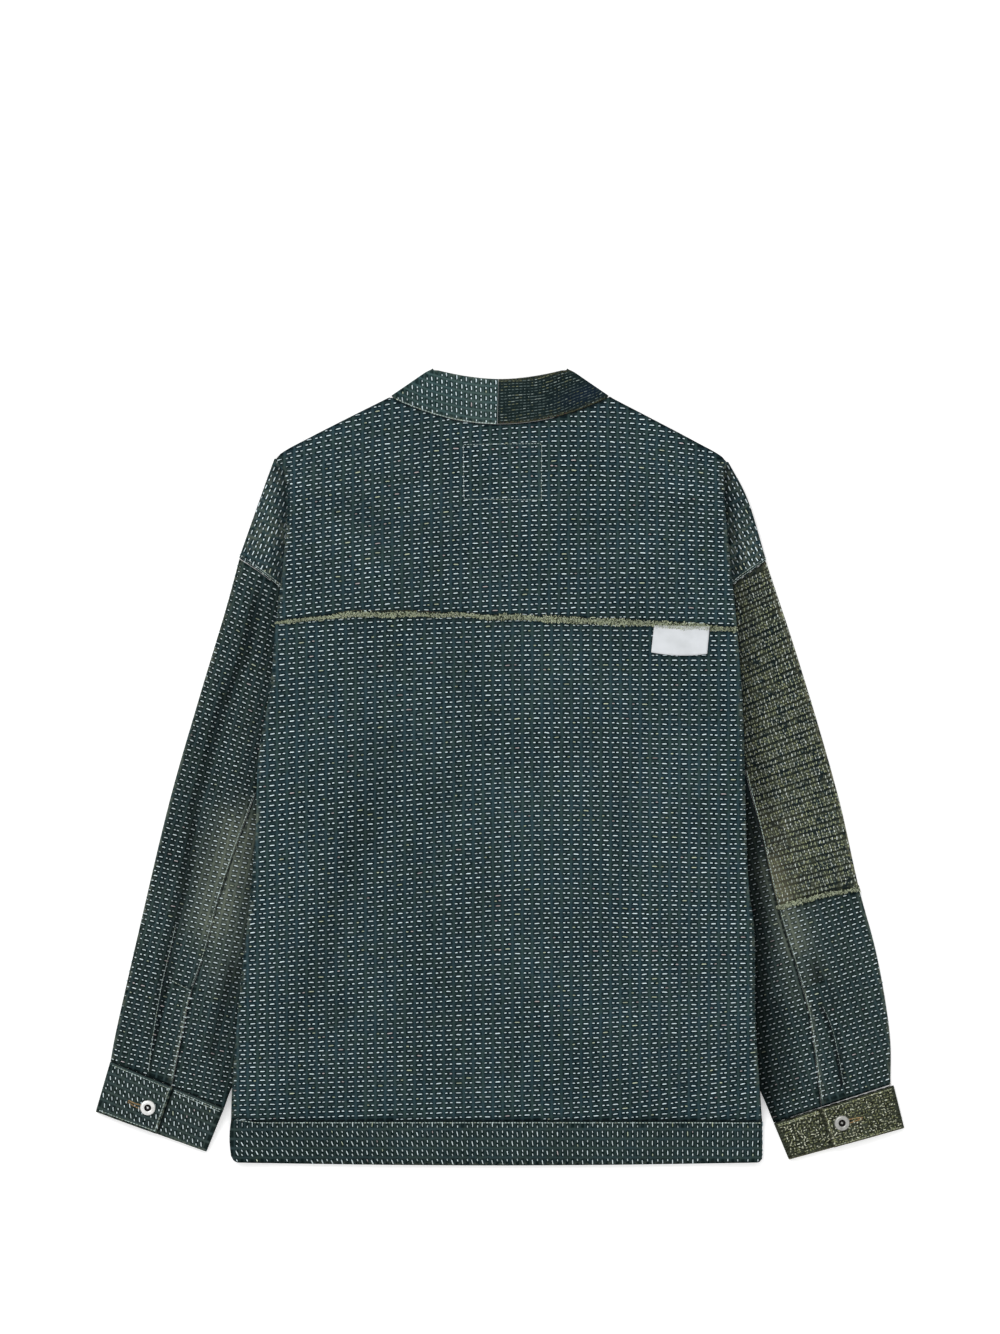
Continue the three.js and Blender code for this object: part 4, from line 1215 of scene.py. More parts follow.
tweed, given, tweed_out = node_group(
    "olive ground",
    {"Cell": VECTOR, "Olive": COLOUR, "Navy": COLOUR, "Straw": COLOUR, "Rib": NUMBER},
    {"Color": COLOUR, "Height": NUMBER})
split = tweed.add("ShaderNodeSeparateXYZ", Vector=given["Cell"]).outputs
waver = tweed.noise(tweed.stretch(given["Cell"], 0.6, 0.9), 1.0, 2.0)
across = tweed.plus(split["Y"], tweed.times(tweed.minus(waver, 0.5), 0.16))
lower_rib = tweed.ease(tweed.math("PINGPONG", across, 0.5), 0.012, 0.055, 0.9, 0.0)
upper_rib = tweed.math("PINGPONG", tweed.minus(across, NARROW_FROM / BAND_OF_PATCH), 0.5)
rib = tweed.math("MAXIMUM", lower_rib, tweed.ease(upper_rib, 0.008, 0.045, 0.7, 0.0))
rib = tweed.times(rib, given["Rib"])
narrow = tweed.math("GREATER_THAN", tweed.math("FRACT", across), NARROW_FROM / BAND_OF_PATCH)
blotch = tweed.noise(tweed.stretch(given["Cell"], 0.45, 1.6), 1.0, 2.0)
blotch = tweed.plus(blotch, tweed.times(tweed.times(narrow, given["Rib"]), 0.02))
speck = tweed.noise(tweed.stretch(given["Cell"], 1.6, 5.6), 1.0, 2.0)
cloth = tweed.blend(tweed.ease(blotch, 0.46, 0.58), given["Olive"], given["Navy"])
cloth = tweed.blend(tweed.ease(speck, 0.55, 0.68), cloth, given["Straw"])
tweed.put(tweed_out.inputs["Color"], tweed.blend(rib, cloth, (0.0085, 0.012, 0.011)))
tweed.put(tweed_out.inputs["Height"], tweed.minus(speck, rib))


def olive_cloth(name, rib, navy):
    material, nodes = new_material(name)
    cell = nodes.weave()
    base = group_node(nodes, "olive ground", Cell=cell, Olive=(0.036, 0.043, 0.030),
                      Navy=navy, Straw=(0.090, 0.102, 0.074), Rib=rib)
    worn = aged_and_shaded_colour(nodes, cell, Color=base["Color"], Faded=(0.26, 0.25, 0.16))
    surface(nodes, worn, 0.93, base["Height"], 0.6, Specular_IOR_Level=0.02)
    return material


patch_cloth = olive_cloth("olive_patch_cloth", 1.0, (0.011, 0.018, 0.019))
olive_thread = thread_material(
    "olive_cloth_thread", (0.40, 0.44, 0.38), (0.32, 0.36, 0.23),
    (0.56, 0.61, 0.56), 0.5)
dull_thread = thread_material(
    "dull_olive_thread", (0.17, 0.195, 0.15), (0.24, 0.26, 0.14), (0.10, 0.14, 0.13),
    0.45)
patch_places = lerp(ARMHOLE, patch_end(0)[None], np.linspace(0, 1, 80)[:, None])


def patch_paint(x, y, z):
    """The olive cloth bleaches less than the indigo below it, and takes less of the painted shade.
    """
    fields = sleeve_paint(right)(x, y, z)
    return fields | {"fade": 0.45 * fields["fade"], "shade": 0.55 * fields["shade"]}


patch = cloth_object(
    "sleeve_right_olive_cloth", "sleeve_right_patch",
    [sleeve_wall(right, 0, patch_places, patch_weave)], patch_cloth, patch_paint, "olive_cloth")


def above_the_edge(outline):
    return np.stack([outline[:, 0], np.maximum(outline[:, 1], patch_edge_y(outline[:, 0]) + 3)], -1)


def patch_dashes(outline, seed, dull=False):
    """Short dashes along the arm that never cross a rib: the chains, or the dull ones between."""
    ahead, aside = weave_axes(PATCH_ANGLE)
    rng = np.random.default_rng(seed)
    outline = np.array(outline)
    u, v = outline @ ahead, outline @ aside
    lines = len(PATCH_LINES)
    i = np.arange(math.floor(u.min() / CHAINS_APART), math.ceil(u.max() / CHAINS_APART))
    j = np.arange(lines * math.floor(v.min() / BAND_OF_PATCH - 3),
                  lines * math.ceil(v.max() / BAND_OF_PATCH + 3))
    i, j = (grid.ravel() for grid in np.meshgrid(i, j))
    single = j % lines == lines - 1
    u = (i + (0.5 if dull else 0)) * CHAINS_APART + rng.normal(0, 0.35, len(i))
    start = (j // lines) * BAND_OF_PATCH + PATCH_LINES[j % lines] + rng.normal(0, 0.32, len(i))
    v = start
    for _ in range(3):
        v = start + patch_slope(u, v)
    centre = u[:, None] * ahead + v[:, None] * aside
    lean = np.full(len(i), -0.5) if dull else np.where(single, 0.25, 0.12)
    tilt = lean + rng.normal(0, 0.4 if dull else 0.2, len(i))
    along = np.cos(tilt)[:, None] * aside + np.sin(tilt)[:, None] * ahead
    half = rng.uniform(0.6, 1.3, len(i)) if dull else rng.uniform(1.0, 1.5, len(i)) + 0.45 * single
    along = along * half[:, None]
    keep = within(outline, centre[:, 0], centre[:, 1]) & (rng.uniform(0, 1, len(i)) > 0.05)
    return np.stack([centre - along, centre + along], 1)[keep]


patch_outline = above_the_edge(sleeve_outline(right, 0, 0.0, patch_ends_at + 0.05))
patch_stitches = dashes(
    "olive_patch_stitches", patch_dashes(patch_outline, 71), laid_on(sleeve_top(right), CLOTH / 2),
    olive_thread, 1.25, 0.45, seed=72, paint=patch_paint, slot="olive_cloth")
dull_stitches = dashes(
    "olive_patch_dull_stitches", patch_dashes(patch_outline, 75, dull=True),
    laid_on(sleeve_top(right), CLOTH / 2), dull_thread, 1.5, 0.3, seed=76, paint=patch_paint,
    slot="olive_cloth")
patch_understitches = dashes(
    "olive_patch_underside_stitches", patch_dashes(patch_outline, 73),
    laid_on(sleeve_bottom(right), CLOTH / 2, -1), olive_thread, 1.15, UNDER_HEIGHT, seed=74,
    slot="olive_cloth")

# ---- Plackets ----
# A strip of the body's cloth folded over the slit above each cuff, beside the back seam.

TRIM = 1.0
ON_CLOTH = HALF_WALL + SEAM + TRIM / 2  # from the middle of the cloth to a trim's middle
PLACKET = 25
PLACKET_WALL = 0.8
PLACKET_TOP = -212


def above(place, lift):
    """The same surface, raised by lift."""
    return lambda x, y: place(x, y) + np.array([0, 0, lift])


left.cuff_meets, right.cuff_meets = -301, -322  # where the strip ends, at the cuff
CUFF_RISE = 1.7  # how far it climbs there onto the cuff's seam
left.slit = [(306, -150), (313, -180), (319.5, -206), (325.5, -240), (329.5, -266), (332.4, -290.5)]
right.slit = [(304, -228), (308.5, -236), (313, -247), (316.5, -260), (320, -277), (322.5, -291),
              (324.5, -303)]


def placket_place(side):
    """The middle of the strip, which lies on the sleeve and climbs to the cuff."""
    lying = above(sleeve_top(side), ON_CLOTH)

    def at(x, y):
        points = lying(x, y)
        points[..., 2] += CUFF_RISE * smooth(-y, -side.cuff_meets - 16, -side.cuff_meets)
        return points
    return at


def placket_grid(side):
    s = np.linspace(0, 1, 400)
    seam = sleeve_place(side, s, side.seam_share(s))[0]
    first = s[np.argmax(seam[:, 1] < PLACKET_TOP)]
    s = np.linspace(first, 0.996, 30)[:, None] * np.ones(9)
    a = side.seam_share(s) - PLACKET / width_at(side, s) * np.linspace(0, 1, 9)
    return sleeve_place(side, s, a)[0]


def placket_paint(side):
    def paint(x, y, z):
        flat = placket_grid(side)
        edge = distance(flat[:, -1], np.abs(x), y)[0]
        rubbed = np.exp(-(distance(flat[:, 0], np.abs(x), y)[0] / 3.0) ** 2)
        # painted shadow along the strip's outer edge, and on the right along the slit
        dark = 0.9 * np.exp(-(edge / 1.6) ** 2)
        if side is right:
            dark = np.exp(-(distance(side.slit, np.abs(x), y)[0] / 2.2) ** 2)
        return {"fade": 0.12 * rubbed, "shade": dark, "wear": 0.6 * rubbed}
    return paint


for side in SIDES:
    flat = placket_grid(side)
    points = placket_place(side)(flat[..., 0] * side.sign, flat[..., 1])
    points[..., 0] *= side.sign
    wall = mirrored(side, grid_wall(
        points, cells_at(side.sign * flat[..., 0], flat[..., 1], **side.sleeve_weave),
        PLACKET_WALL))
    strip = cloth_object(
        f"placket_cloth_{side.name}", f"placket_{side.name}", [wall], worn_indigo,
        placket_paint(side))
    outline = np.concatenate([flat[1:-1, 0] - (1.5, 0), flat[-2, 1:-1],
                              flat[1:-1, -1][::-1] + (0.8, 0)])
    strip_stitches = dashes(
        f"placket_stitches_{side.name}",
        running_stitch(outline * (side.sign, 1), seed=81, **side.sleeve_weave),
        laid_on(placket_place(side), PLACKET_WALL / 2), worn_thread, seed=82,
        paint=placket_paint(side))

# ---- Frayed edges ----
# The yoke's lower edge and the olive cloth's are raw and brushed out: a core of loosened threads
# with short curled ends standing out of it, straw and olive.

fray_yarn = thread_material(
    "frayed_yarn", (0.48, 0.53, 0.36), (0.06, 0.075, 0.045), (0.66, 0.72, 0.56), 0.6)
matted_yarn = thread_material(
    "matted_yarn", (0.14, 0.16, 0.10), (0.03, 0.04, 0.028), (0.20, 0.225, 0.13), 0.7)

FRAY_CORE = 0.7  # thickness of the matted core


def fray_core(name, node, middle, half, place, seed):
    """The matted core along an edge: middle is its line of (x, y), half its half height."""
    rng = np.random.default_rng(seed)
    shares = np.linspace(-1, 1, 7)
    normals = np.gradient(middle, axis=0)
    normals = np.stack([-normals[:, 1], normals[:, 0]], -1)
    normals /= np.linalg.norm(normals, axis=1, keepdims=True)
    flat = middle[:, None] + normals[:, None] * (half[:, None] * shares)[..., None]
    flat += rng.normal(0, 0.22, flat.shape)
    points = place(flat[..., 0], flat[..., 1])
    points[..., 2] += 0.5 * (1 - shares ** 2) + rng.uniform(-0.25, 0.25, flat.shape[:2])
    return cloth_object(
        name, node, [grid_wall(points, cells_at(flat[..., 0], flat[..., 1]), FRAY_CORE)],
        matted_yarn,
        lambda x, y, z: {field: rng.uniform(0, 1, len(x)) for field in ("tint", "light")},
        "frayed_yarn")


def fray_ends(name, middle, half, place, count, seed):
    """Loose ends of thread, each a short bent dash that starts in the core."""
    rng = np.random.default_rng(seed)
    at = rng.uniform(0, len(middle) - 1.001, count)
    k = at.astype(int)
    base = lerp(middle[k], middle[k + 1], (at - k)[:, None])
    reach = np.interp(at, np.arange(len(half)), half)
    base = base + np.stack([rng.normal(0, 0.8, count), rng.uniform(-0.95, 0.95, count) * reach], -1)
    angle = rng.choice([-1, 1], count, p=[0.6, 0.4]) * math.pi / 2 + rng.normal(0, 0.75, count)
    length = rng.uniform(1.0, 2.6, count) * (0.4 + reach / reach.max() * 0.6)
    tip = base + np.stack([np.cos(angle), np.sin(angle)], -1) * length[:, None]
    return dashes(name, np.stack([base, tip], 1), laid_on(above(place, 0.5), 0.45), fray_yarn,
                  width=0.7, height=0.9, seed=seed, slot="frayed_yarn")


fray_x = np.linspace(-212, 224, 430)
fray_thick = through([(-213, 1.2), (-175, 1.3), (-145, 2.1), (-100, 2.4), (-60, 1.8), (0, 2.2),
                      (40, 2.9), (120, 2.7), (180, 2.9), (205, 2.0), (225, 1.7)])
yoke_line = np.stack([fray_x, yoke_seam_y(fray_x) - 1.5], -1)
yoke_line[:, 1] += 1.6 * (rumple(fray_x, 0, 46, 91) - 0.5)
yoke_half = fray_thick(fray_x) * (0.7 + 0.65 * rumple(fray_x, 3, 17, 92))
fray_level = above(back_place, ON_CLOTH + 0.1)
fray_core("yoke_frayed_edge", "yoke_fray", yoke_line, yoke_half * 0.8, fray_level, 93)
fray_ends("yoke_frayed_ends", yoke_line, yoke_half, fray_level, 5200, 94)

patch_x = np.linspace(262, 341, 120)
patch_line = np.stack([patch_x, patch_edge_y(patch_x) - 1.0], -1)
patch_line[:, 1] += 2.2 * (rumple(patch_x, 0, 34, 95) - 0.5)
patch_half = np.full(120, 1.5) * (0.8 + 0.5 * rumple(patch_x, 3, 19, 96))
on_right_sleeve = above(sleeve_top(right), ON_CLOTH)
fray_core("patch_frayed_edge", "patch_fray", patch_line, patch_half * 0.8, on_right_sleeve, 97)
fray_ends("patch_frayed_ends", patch_line, patch_half, on_right_sleeve, 850, 98)

# ---- Label ----
# A plain white woven tape hanging from the yoke's edge on the right, its corners a little curled.

LABEL_TOP, LABEL_BOTTOM = [(146, 133.6), (198.6, 132.4)], [(143.2, 107.9), (196.2, 106.4)]
LABEL_WALL = 0.6
LABEL_SAG = 2.3
OVER_FRAY = 1.3  # how far its top is lifted by the loose threads below it
t, s = np.meshgrid(np.linspace(0, 1, 16), np.linspace(0, 1, 30), indexing="ij")
label_x = lerp(lerp(LABEL_TOP[0][0], LABEL_BOTTOM[0][0], t),
               lerp(LABEL_TOP[1][0], LABEL_BOTTOM[1][0], t), s)
label_y = lerp(lerp(LABEL_TOP[0][1], LABEL_BOTTOM[0][1], t),
               lerp(LABEL_TOP[1][1], LABEL_BOTTOM[1][1], t), s)
label_y = label_y - LABEL_SAG * t * 4 * s * (1 - s)
label_points = back_place(label_x, label_y)
label_points[..., 2] += ON_CLOTH + OVER_FRAY * (1 - t) + 0.9 * t ** 2 + 0.5 * t * (2 * s - 1) ** 2
white_tape, nodes = new_material("white_woven_tape")
cell = nodes.weave()
along = nodes.add("ShaderNodeSeparateXYZ", Vector=cell).outputs["Y"]
ribs = nodes.math("SINE", nodes.times(along, 60.0))
soil = nodes.ease(nodes.noise(nodes.stretch(cell, 0.5, 0.3), 1.0, 3.0), 0.3, 0.8)
tone = nodes.blend(soil, (0.80, 0.83, 0.86), (0.69, 0.72, 0.74))
# painted shade along the label's top, under the frayed edge
hem_shade = nodes.field("shade")
surface(nodes, nodes.blend(hem_shade, tone, (0.35, 0.37, 0.38)), 0.62, ribs, 0.08,
        Specular_IOR_Level=0.3)
label = cloth_object(
    "label_tape", "label", [grid_wall(label_points[::-1], cells_at(label_x, label_y)[::-1],
                                      LABEL_WALL)],
    white_tape, lambda x, y, z: {"shade": 0.3 * smooth(y, 130, 133)}, "white_tape")

# ---- Collar ----
# A band of two cloths joined at the nape: the body's, turned so that its rows stand upright, and
# a near-black one with fine rows along it. It folds at the shoulders and edges both fronts.

BAND = 2.0
BAND_Z = 1.2
BAND_TURN = 1.5
BAND_TOP_Z = BAND_Z + 2 * BAND_TURN
NAPE_X = -2.5
COLLAR_TOP_Y = 367.2
FOLD_ROUNDED = 0.9  # how far the free edge is rounded down at the shoulder fold
BAND_OPENING = [(-379, 0.15), (110, 0.15), (165, 10), (275, 37), (376.8, 63.4)]
opening_x = through(BAND_OPENING)
left.collar_weave = {
    "cell": (7.8, 4.65), "angle": 90, "origin": (1.5, 2), "slip": lambda v: 0.0027 * v * v,
    "lean": lambda u, v: 3 + 0 * u}
right.collar_weave = {
    "cell": (3.6, 2.75), "rows": lambda u, v: 0.0028 * u * u + 0.7 * np.sin(u / 9 + v / 14)}


def nape_edges(x):
    """The collar's neck seam and its free edge, at x along the seam."""
    neck_x, top_x = COLLAR_FOLD_NECK[0], COLLAR_FOLD_TOP[0]
    seam_y = np.minimum(NECK_Y + NECK_CURVE * x * x + SEAM, COLLAR_FOLD_NECK[1])
    edge_x = x * top_x / neck_x
    edge_y = lerp(COLLAR_TOP_Y, COLLAR_FOLD_TOP[1], (np.abs(edge_x) / top_x) ** 1.8)
    edge_y = edge_y - FOLD_ROUNDED * smooth(np.abs(edge_x), top_x - 8, top_x) ** 2
    return np.stack([x, seam_y], -1), np.stack([edge_x, edge_y], -1)


def collar_wall(side):
    nape = side.sign * NAPE_X + SEAM / 2
    v = np.linspace(0, 1, 13)[None, :, None]
    t = np.linspace(0, 1, 42)[:, None]
    neck, top = np.array(COLLAR_FOLD_NECK), np.array(COLLAR_FOLD_TOP)
    seam, free = nape_edges(lerp(nape, neck[0], t[:, 0]))
    flat = lerp(seam[:, None], free[:, None], v)
    uneven = 0.6 + 0.6 * rumple(flat[..., 0], flat[..., 1], 60, 7)
    roll = 1.1 * np.sin(math.pi * v[..., 0]) * (1 - t ** 4) * uneven
    back = np.concatenate([flat, (BAND_TOP_Z + roll)[..., None]], -1)
    fold = (neck - top) / np.linalg.norm(neck - top)
    outward = np.array([-fold[1], fold[0], 0])
    line = lerp(neck, top - (0, FOLD_ROUNDED), v[0])
    line = np.concatenate([line, np.full((13, 1), BAND_Z + BAND_TURN)], -1)
    rounded = np.stack([0 * v[0, :, 0], -1.4 * smooth(v[0, :, 0], 0.86, 1.0), 0 * v[0, :, 0]], -1)
    turned = [line + (outward * BAND_TURN + rounded) * math.cos(a)
              + (0, 0, BAND_TURN * math.sin(a)) for a in HALF_TURN]
    t = np.linspace(0, 1, 120)[:, None]
    y, free_y = lerp(neck[1], BOTTOM_Y, t), lerp(top[1], BOTTOM_Y, t)
    seam = np.concatenate([band_seam_x(y), y], -1)
    free = np.concatenate([opening_x(free_y), free_y], -1)
    flat = lerp(seam[:, None], free[:, None], v)
    front = np.concatenate([flat, np.full(flat.shape[:2] + (1,), BAND_Z)], -1)
    points = np.concatenate([back, np.array(turned), front])
    return woven_wall(side, points, side.collar_weave, BAND)


def collar_place(x, y):
    return np.stack([x, y + 0 * x, BAND_TOP_Z + collar_roll(x, y)], -1)


def collar_share(x, y):
    """How far across the band at the nape a place is, from the neck seam to the free edge."""
    neck_x, top_x = COLLAR_FOLD_NECK[0], COLLAR_FOLD_TOP[0]
    share = np.full(np.shape(x), 0.5)
    for _ in range(12):
        seam, free = nape_edges(x / lerp(1, top_x / neck_x, share))
        share = np.clip((y - seam[..., 1]) / np.maximum(free[..., 1] - seam[..., 1], 1), 0, 1)
    return share


def collar_roll(x, y):
    v = collar_share(x, y)
    along = np.abs(x) / lerp(COLLAR_FOLD_NECK[0], COLLAR_FOLD_TOP[0], v)
    return 1.1 * np.sin(math.pi * v) * (1 - along ** 4) * (0.6 + 0.6 * rumple(np.abs(x), y, 60, 7))


def collar_paint(x, y, z):
    v = collar_share(x, y)
    on_nape = (z > BAND_Z + BAND_TURN) & (np.abs(x) < 110)
    bleached = 0.12 * np.exp(-((x + 22) / 22) ** 2) * (x < NAPE_X) * on_nape
    wear = np.maximum(0.5 * smooth(v, 0.9, 1.0), 0.5 * (1 - smooth(v, 0.0, 0.09))) * on_nape
    # painted shade, darker towards the shoulder folds of the nape
    return {"fade": bleached, "wear": wear, "shade": 0.25 * smooth(np.abs(x), 60, 100) * on_nape}


pale_collar_cloth = stitched_cloth(
    "faded_collar_cotton", dark=(0.0085, 0.0215, 0.0220), blue=(0.053, 0.100, 0.104),
    green=(0.058, 0.102, 0.097), faded=(0.17, 0.22, 0.18))
collar_left = cloth_object(
    "collar_cloth_left", "collar_left", [collar_wall(left)], pale_collar_cloth, collar_paint)


def nape_outline(side, margin):
    nape = side.sign * NAPE_X + 1
    x = np.linspace(nape, COLLAR_FOLD_NECK[0] - 1, 40)
    seam, free = nape_edges(x)
    return np.concatenate([seam + (0, margin), (free - (0, margin))[::-1]]) * (side.sign, 1)


def band_outline(side):
    y = np.linspace(BOTTOM_Y + 3, 340, 60)
    inner = np.stack([opening_x(y) + 2, y], -1)
    return np.concatenate([inner, np.stack([band_seam_x(y) - 2, y], -1)[::-1]]) * (side.sign, 1)


def band_front(x, y):
    return np.stack([x, y + 0 * x, np.full(np.shape(x), BAND_Z)], -1)


collar_stitches = dashes(
    "collar_left_stitches", running_stitch(nape_outline(left, 1.5), seed=101, **left.collar_weave),
    laid_on(collar_place, BAND / 2), pale_thread, width=1.18, seed=102, paint=collar_paint,
    arch=-0.4)
band_stitches = dashes(
    "band_left_stitches", running_stitch(band_outline(left), seed=103, **left.collar_weave),
    laid_on(band_front, BAND / 2, -1), pale_thread, width=1.25, height=UNDER_HEIGHT, seed=104)

fine, given, fine_out = node_group(
    "fine dark rows",
    {"Cell": VECTOR, "Black": COLOUR, "Navy": COLOUR, "Grey": COLOUR, "Navy Part": NUMBER},
    {"Color": COLOUR, "Height": NUMBER})
split = fine.add("ShaderNodeSeparateXYZ", Vector=given["Cell"]).outputs
row = fine.ease(fine.math("PINGPONG", split["Y"], 0.5), 0.12, 0.4)
flecks = fine.noise(fine.stretch(given["Cell"], 1.3, 2.4), 1.0, 3.0)
tone = fine.blend(given["Navy Part"], given["Black"], given["Navy"])
tone = fine.blend(fine.times(row, fine.ease(flecks, 0.45, 0.65)), tone, given["Grey"])
fine.put(fine_out.inputs["Color"], tone)
fine.put(fine_out.inputs["Height"], fine.plus(row, flecks))
dark_cloth, nodes = new_material("near_black_row_cloth")
cell = nodes.weave()
base = group_node(nodes, "fine dark rows", Cell=cell, Black=(0.0088, 0.0175, 0.0178),
                  Navy=(0.009, 0.019, 0.034),
                  Grey=(0.036, 0.054, 0.052), Navy_Part=nodes.field("navy"))
worn = aged_and_shaded_colour(nodes, cell, Color=base["Color"], Faded=(0.16, 0.15, 0.07))
surface(nodes, worn, 0.92, base["Height"], 0.4, Specular_IOR_Level=0.02)
grey_thread = thread_material(
    "grey_row_thread", (0.125, 0.17, 0.165), (0.18, 0.195, 0.115), (0.30, 0.36, 0.34), 0.4)


def dark_collar_paint(x, y, z):
    """One part of the dark cloth shows its navy ground, where the rows are dim."""
    navy = np.exp(-((x - 80) / 24) ** 2 - ((y - 353 - 0.3 * (x - 80)) / 9) ** 2)
    return collar_paint(x, y, z) | {"fade": 0.0, "navy": navy * (z > BAND_Z + BAND_TURN)}


def dim_rows(x, y, z):
    fields = dark_collar_paint(x, y, z)
    return fields | {"shade": np.maximum(fields["shade"], 0.75 * fields["navy"])}


collar_right = cloth_object(
    "collar_cloth_right", "collar_right", [collar_wall(right)], dark_cloth, dark_collar_paint,
    "dark_cloth")


def fine_rows(outline, seed, **weave):
    """Long thin dashes in close rows, broken here and there."""
    ends = running_stitch(outline, seed=seed, pairs=False, loose=0.8, **weave)
    rng = np.random.default_rng(seed + 1)
    middle = ends.mean(1, keepdims=True)
    length = rng.choice([0.6, 1.3, 1.9], len(ends), p=[0.35, 0.35, 0.3])
    ends = middle + (ends - middle) * length[:, None, None]
    return ends[rng.uniform(0, 1, len(ends)) > 0.06]


fine_stitches = dashes(
    "collar_right_stitches", fine_rows(nape_outline(right, 1.2), 105, **right.collar_weave),
    laid_on(collar_place, BAND / 2), grey_thread, 0.85, 0.3, seed=106, paint=dim_rows, arch=0.08,
    slot="dark_cloth")
fine_band = dashes(
    "band_right_stitches", fine_rows(band_outline(right), 107, cell=(5.2, 3.1), angle=90),
    laid_on(band_front, BAND / 2, -1), grey_thread, 0.85, UNDER_HEIGHT, seed=108, slot="dark_cloth")

# ---- Hem band ----
# One doubled band round the bottom, of the body's cloth with its rows stood upright and leaning.

HEM_SIDE_TURN = (BACK_HEM_Z - BAND_Z - 1.2 + HALF_WALL) / 2 - 0.1  # radius of its fold at the sides
HEM_SWELL = 0.8
HEM_ACROSS, HEM_UNDER = 64, 40  # columns of half the band, on top and underneath
left.hem_corner, right.hem_corner = 5.5, 3.0  # radii of its rounded lower corners
left.hem_bulge, right.hem_bulge = 1.5, 0.2


def hem_lean(u, v):
    """The rows below the first lean, most at the left end of the band."""
    return (13 + 16 * v / 250) * smooth(HEM_Y - u, 5, 12)


hem_weave = {"cell": (8.9, 4.75), "angle": 90, "origin": (2.4, 0), "lean": hem_lean}


def hem_level(side, x):
    edge = float(side.fold_x(HEM_Y)) - 1.2 - HEM_SIDE_TURN
    return lerp(BAND_TOP_Z - SEAM, BAND_Z + 2 * HEM_SIDE_TURN, smooth(x, edge - 60, edge)), edge


def hem_half(side):
    t = np.linspace(0, 1, 12)[:, None]
    edge = hem_level(side, 0)[1]
    s = 1 - (1 - np.linspace(0, 1, HEM_ACROSS)) ** 1.6
    level = hem_level(side, edge * s)[0]
    front = np.linspace(edge, band_seam_x(HEM_Y) + SEAM, HEM_UNDER)
    x = np.concatenate([edge * s, edge + HEM_SIDE_TURN * np.cos(HALF_TURN), front])
    z = np.concatenate([level, BAND_Z + HEM_SIDE_TURN * (1 + np.sin(HALF_TURN)),
                        0 * front + BAND_Z])
    swell = np.concatenate([1 + 0 * s, 0 * HALF_TURN, 0 * front]) * HEM_SWELL * np.sin(math.pi * t)
    corner = np.clip((x - edge + side.hem_corner - 2) / side.hem_corner, 0, 1)
    bottom = BOTTOM_Y + 3 * (x / edge) ** 2 + side.hem_corner * (1 - np.sqrt(1 - corner ** 2))
    on_top = np.concatenate([1 + 0 * s, np.linspace(1, 0, len(HALF_TURN)), 0 * front])
    top = HEM_Y - SEAM + (hem_seam(side.sign * x) - HEM_Y) * on_top
    y = lerp(top, bottom, t)
    bulged = x + side.hem_bulge * np.sin(math.pi * t) * smooth(x, edge - 25, edge)
    points = np.stack([bulged, y, z + swell], -1)
    return points[:, ::-1] * (-1, 1, 1) if side is left else points[:, 1:]


hem_points = np.concatenate([hem_half(left), hem_half(right)], 1)[::-1]
hem_uv = cells_at(hem_points[..., 0], hem_points[..., 1], **hem_weave)


def hem_paint(x, y, z):
    down = BOTTOM_Y - y
    # painted shade towards the band's lower edge; the edge itself is rubbed pale
    return {"fade": 0.0, "shade": 0.25 * smooth(down, -14, 0), "wear": 0.5 * smooth(down, -3, 0)}


hem_band = cloth_object(
    "hem_band_cloth", "hem_band", [grid_wall(hem_points, hem_uv, BAND)], worn_indigo, hem_paint)


def hem_place(x, y):
    level = on_side(x, lambda side: hem_level(side, np.abs(x))[0])
    share = np.clip((HEM_Y - SEAM - y) / (HEM_Y - BOTTOM_Y), 0, 1)
    return np.stack([x, y + 0 * x, level + HEM_SWELL * np.sin(math.pi * share)], -1)


hem_ends = [float(side.fold_x(HEM_Y)) - 1.5 for side in SIDES]
hem_x = np.linspace(-hem_ends[0], hem_ends[1], 50)
hem_low = BOTTOM_Y + 3 * (hem_x / 252) ** 2 + 1.5
hem_outline = np.concatenate([
    np.stack([hem_x, hem_seam(hem_x) - 3.0], -1), np.stack([hem_x, hem_low], -1)[::-1]])
hem_stitches = dashes(
    "hem_band_stitches", running_stitch(hem_outline, seed=111, **hem_weave),
    laid_on(hem_place, BAND / 2), worn_thread, width=0.98, seed=112, arch=0.05)
for side in SIDES:
    x = np.array([float(band_seam_x(HEM_Y)) + 3, hem_ends[0] - 3])
    outline = np.array([(x[0], HEM_Y - 3), (x[1], HEM_Y - 3), (x[1], BOTTOM_Y + 5),
                        (x[0], BOTTOM_Y + 2)])
    hem_front = dashes(
        f"hem_band_front_stitches_{side.name}",
        running_stitch(outline * (side.sign, 1), seed=113, **hem_weave),
        laid_on(band_front, BAND / 2, -1), pale_thread, width=1.2, height=UNDER_HEIGHT, seed=114)

# ---- Cuffs ----
# Doubled bands that lap over themselves and button: the left one of the body's cloth, the right
# one of the olive cloth.

COVER = 2.7  # how far the lapped end is raised
UNDERLAP = 22
CUFF_SWELL = 0.6
CUFF_ACROSS, CUFF_LAPPED = 24, 34  # columns of the cuff's two layers and of its lapped end
left.cuff_top, left.cuff_bottom = [(370.3, -280.8), (261.8, -325.3)], [(384, -328), (278.4, -366)]
left.cuff_overlap = 0.55
right.cuff_top, right.cuff_bottom = [(374, -303.4), (259.8, -339.4)], [(384, -343.5), (274, -373.5)]
right.cuff_overlap = 0.615
left.cuff_weave = {
    "cell": (8.6, 4.5), "angle": 68, "origin": (4, 0), "lean": lambda u, v: 26 + 0 * u}
right.cuff_weave = {"cell": (2.8, 2.8), "angle": 15}
for side in SIDES:
    outer, inner = np.array(side.cuff_top)
    side.cuff_hidden = side.cuff_overlap - UNDERLAP / np.linalg.norm(outer - inner)


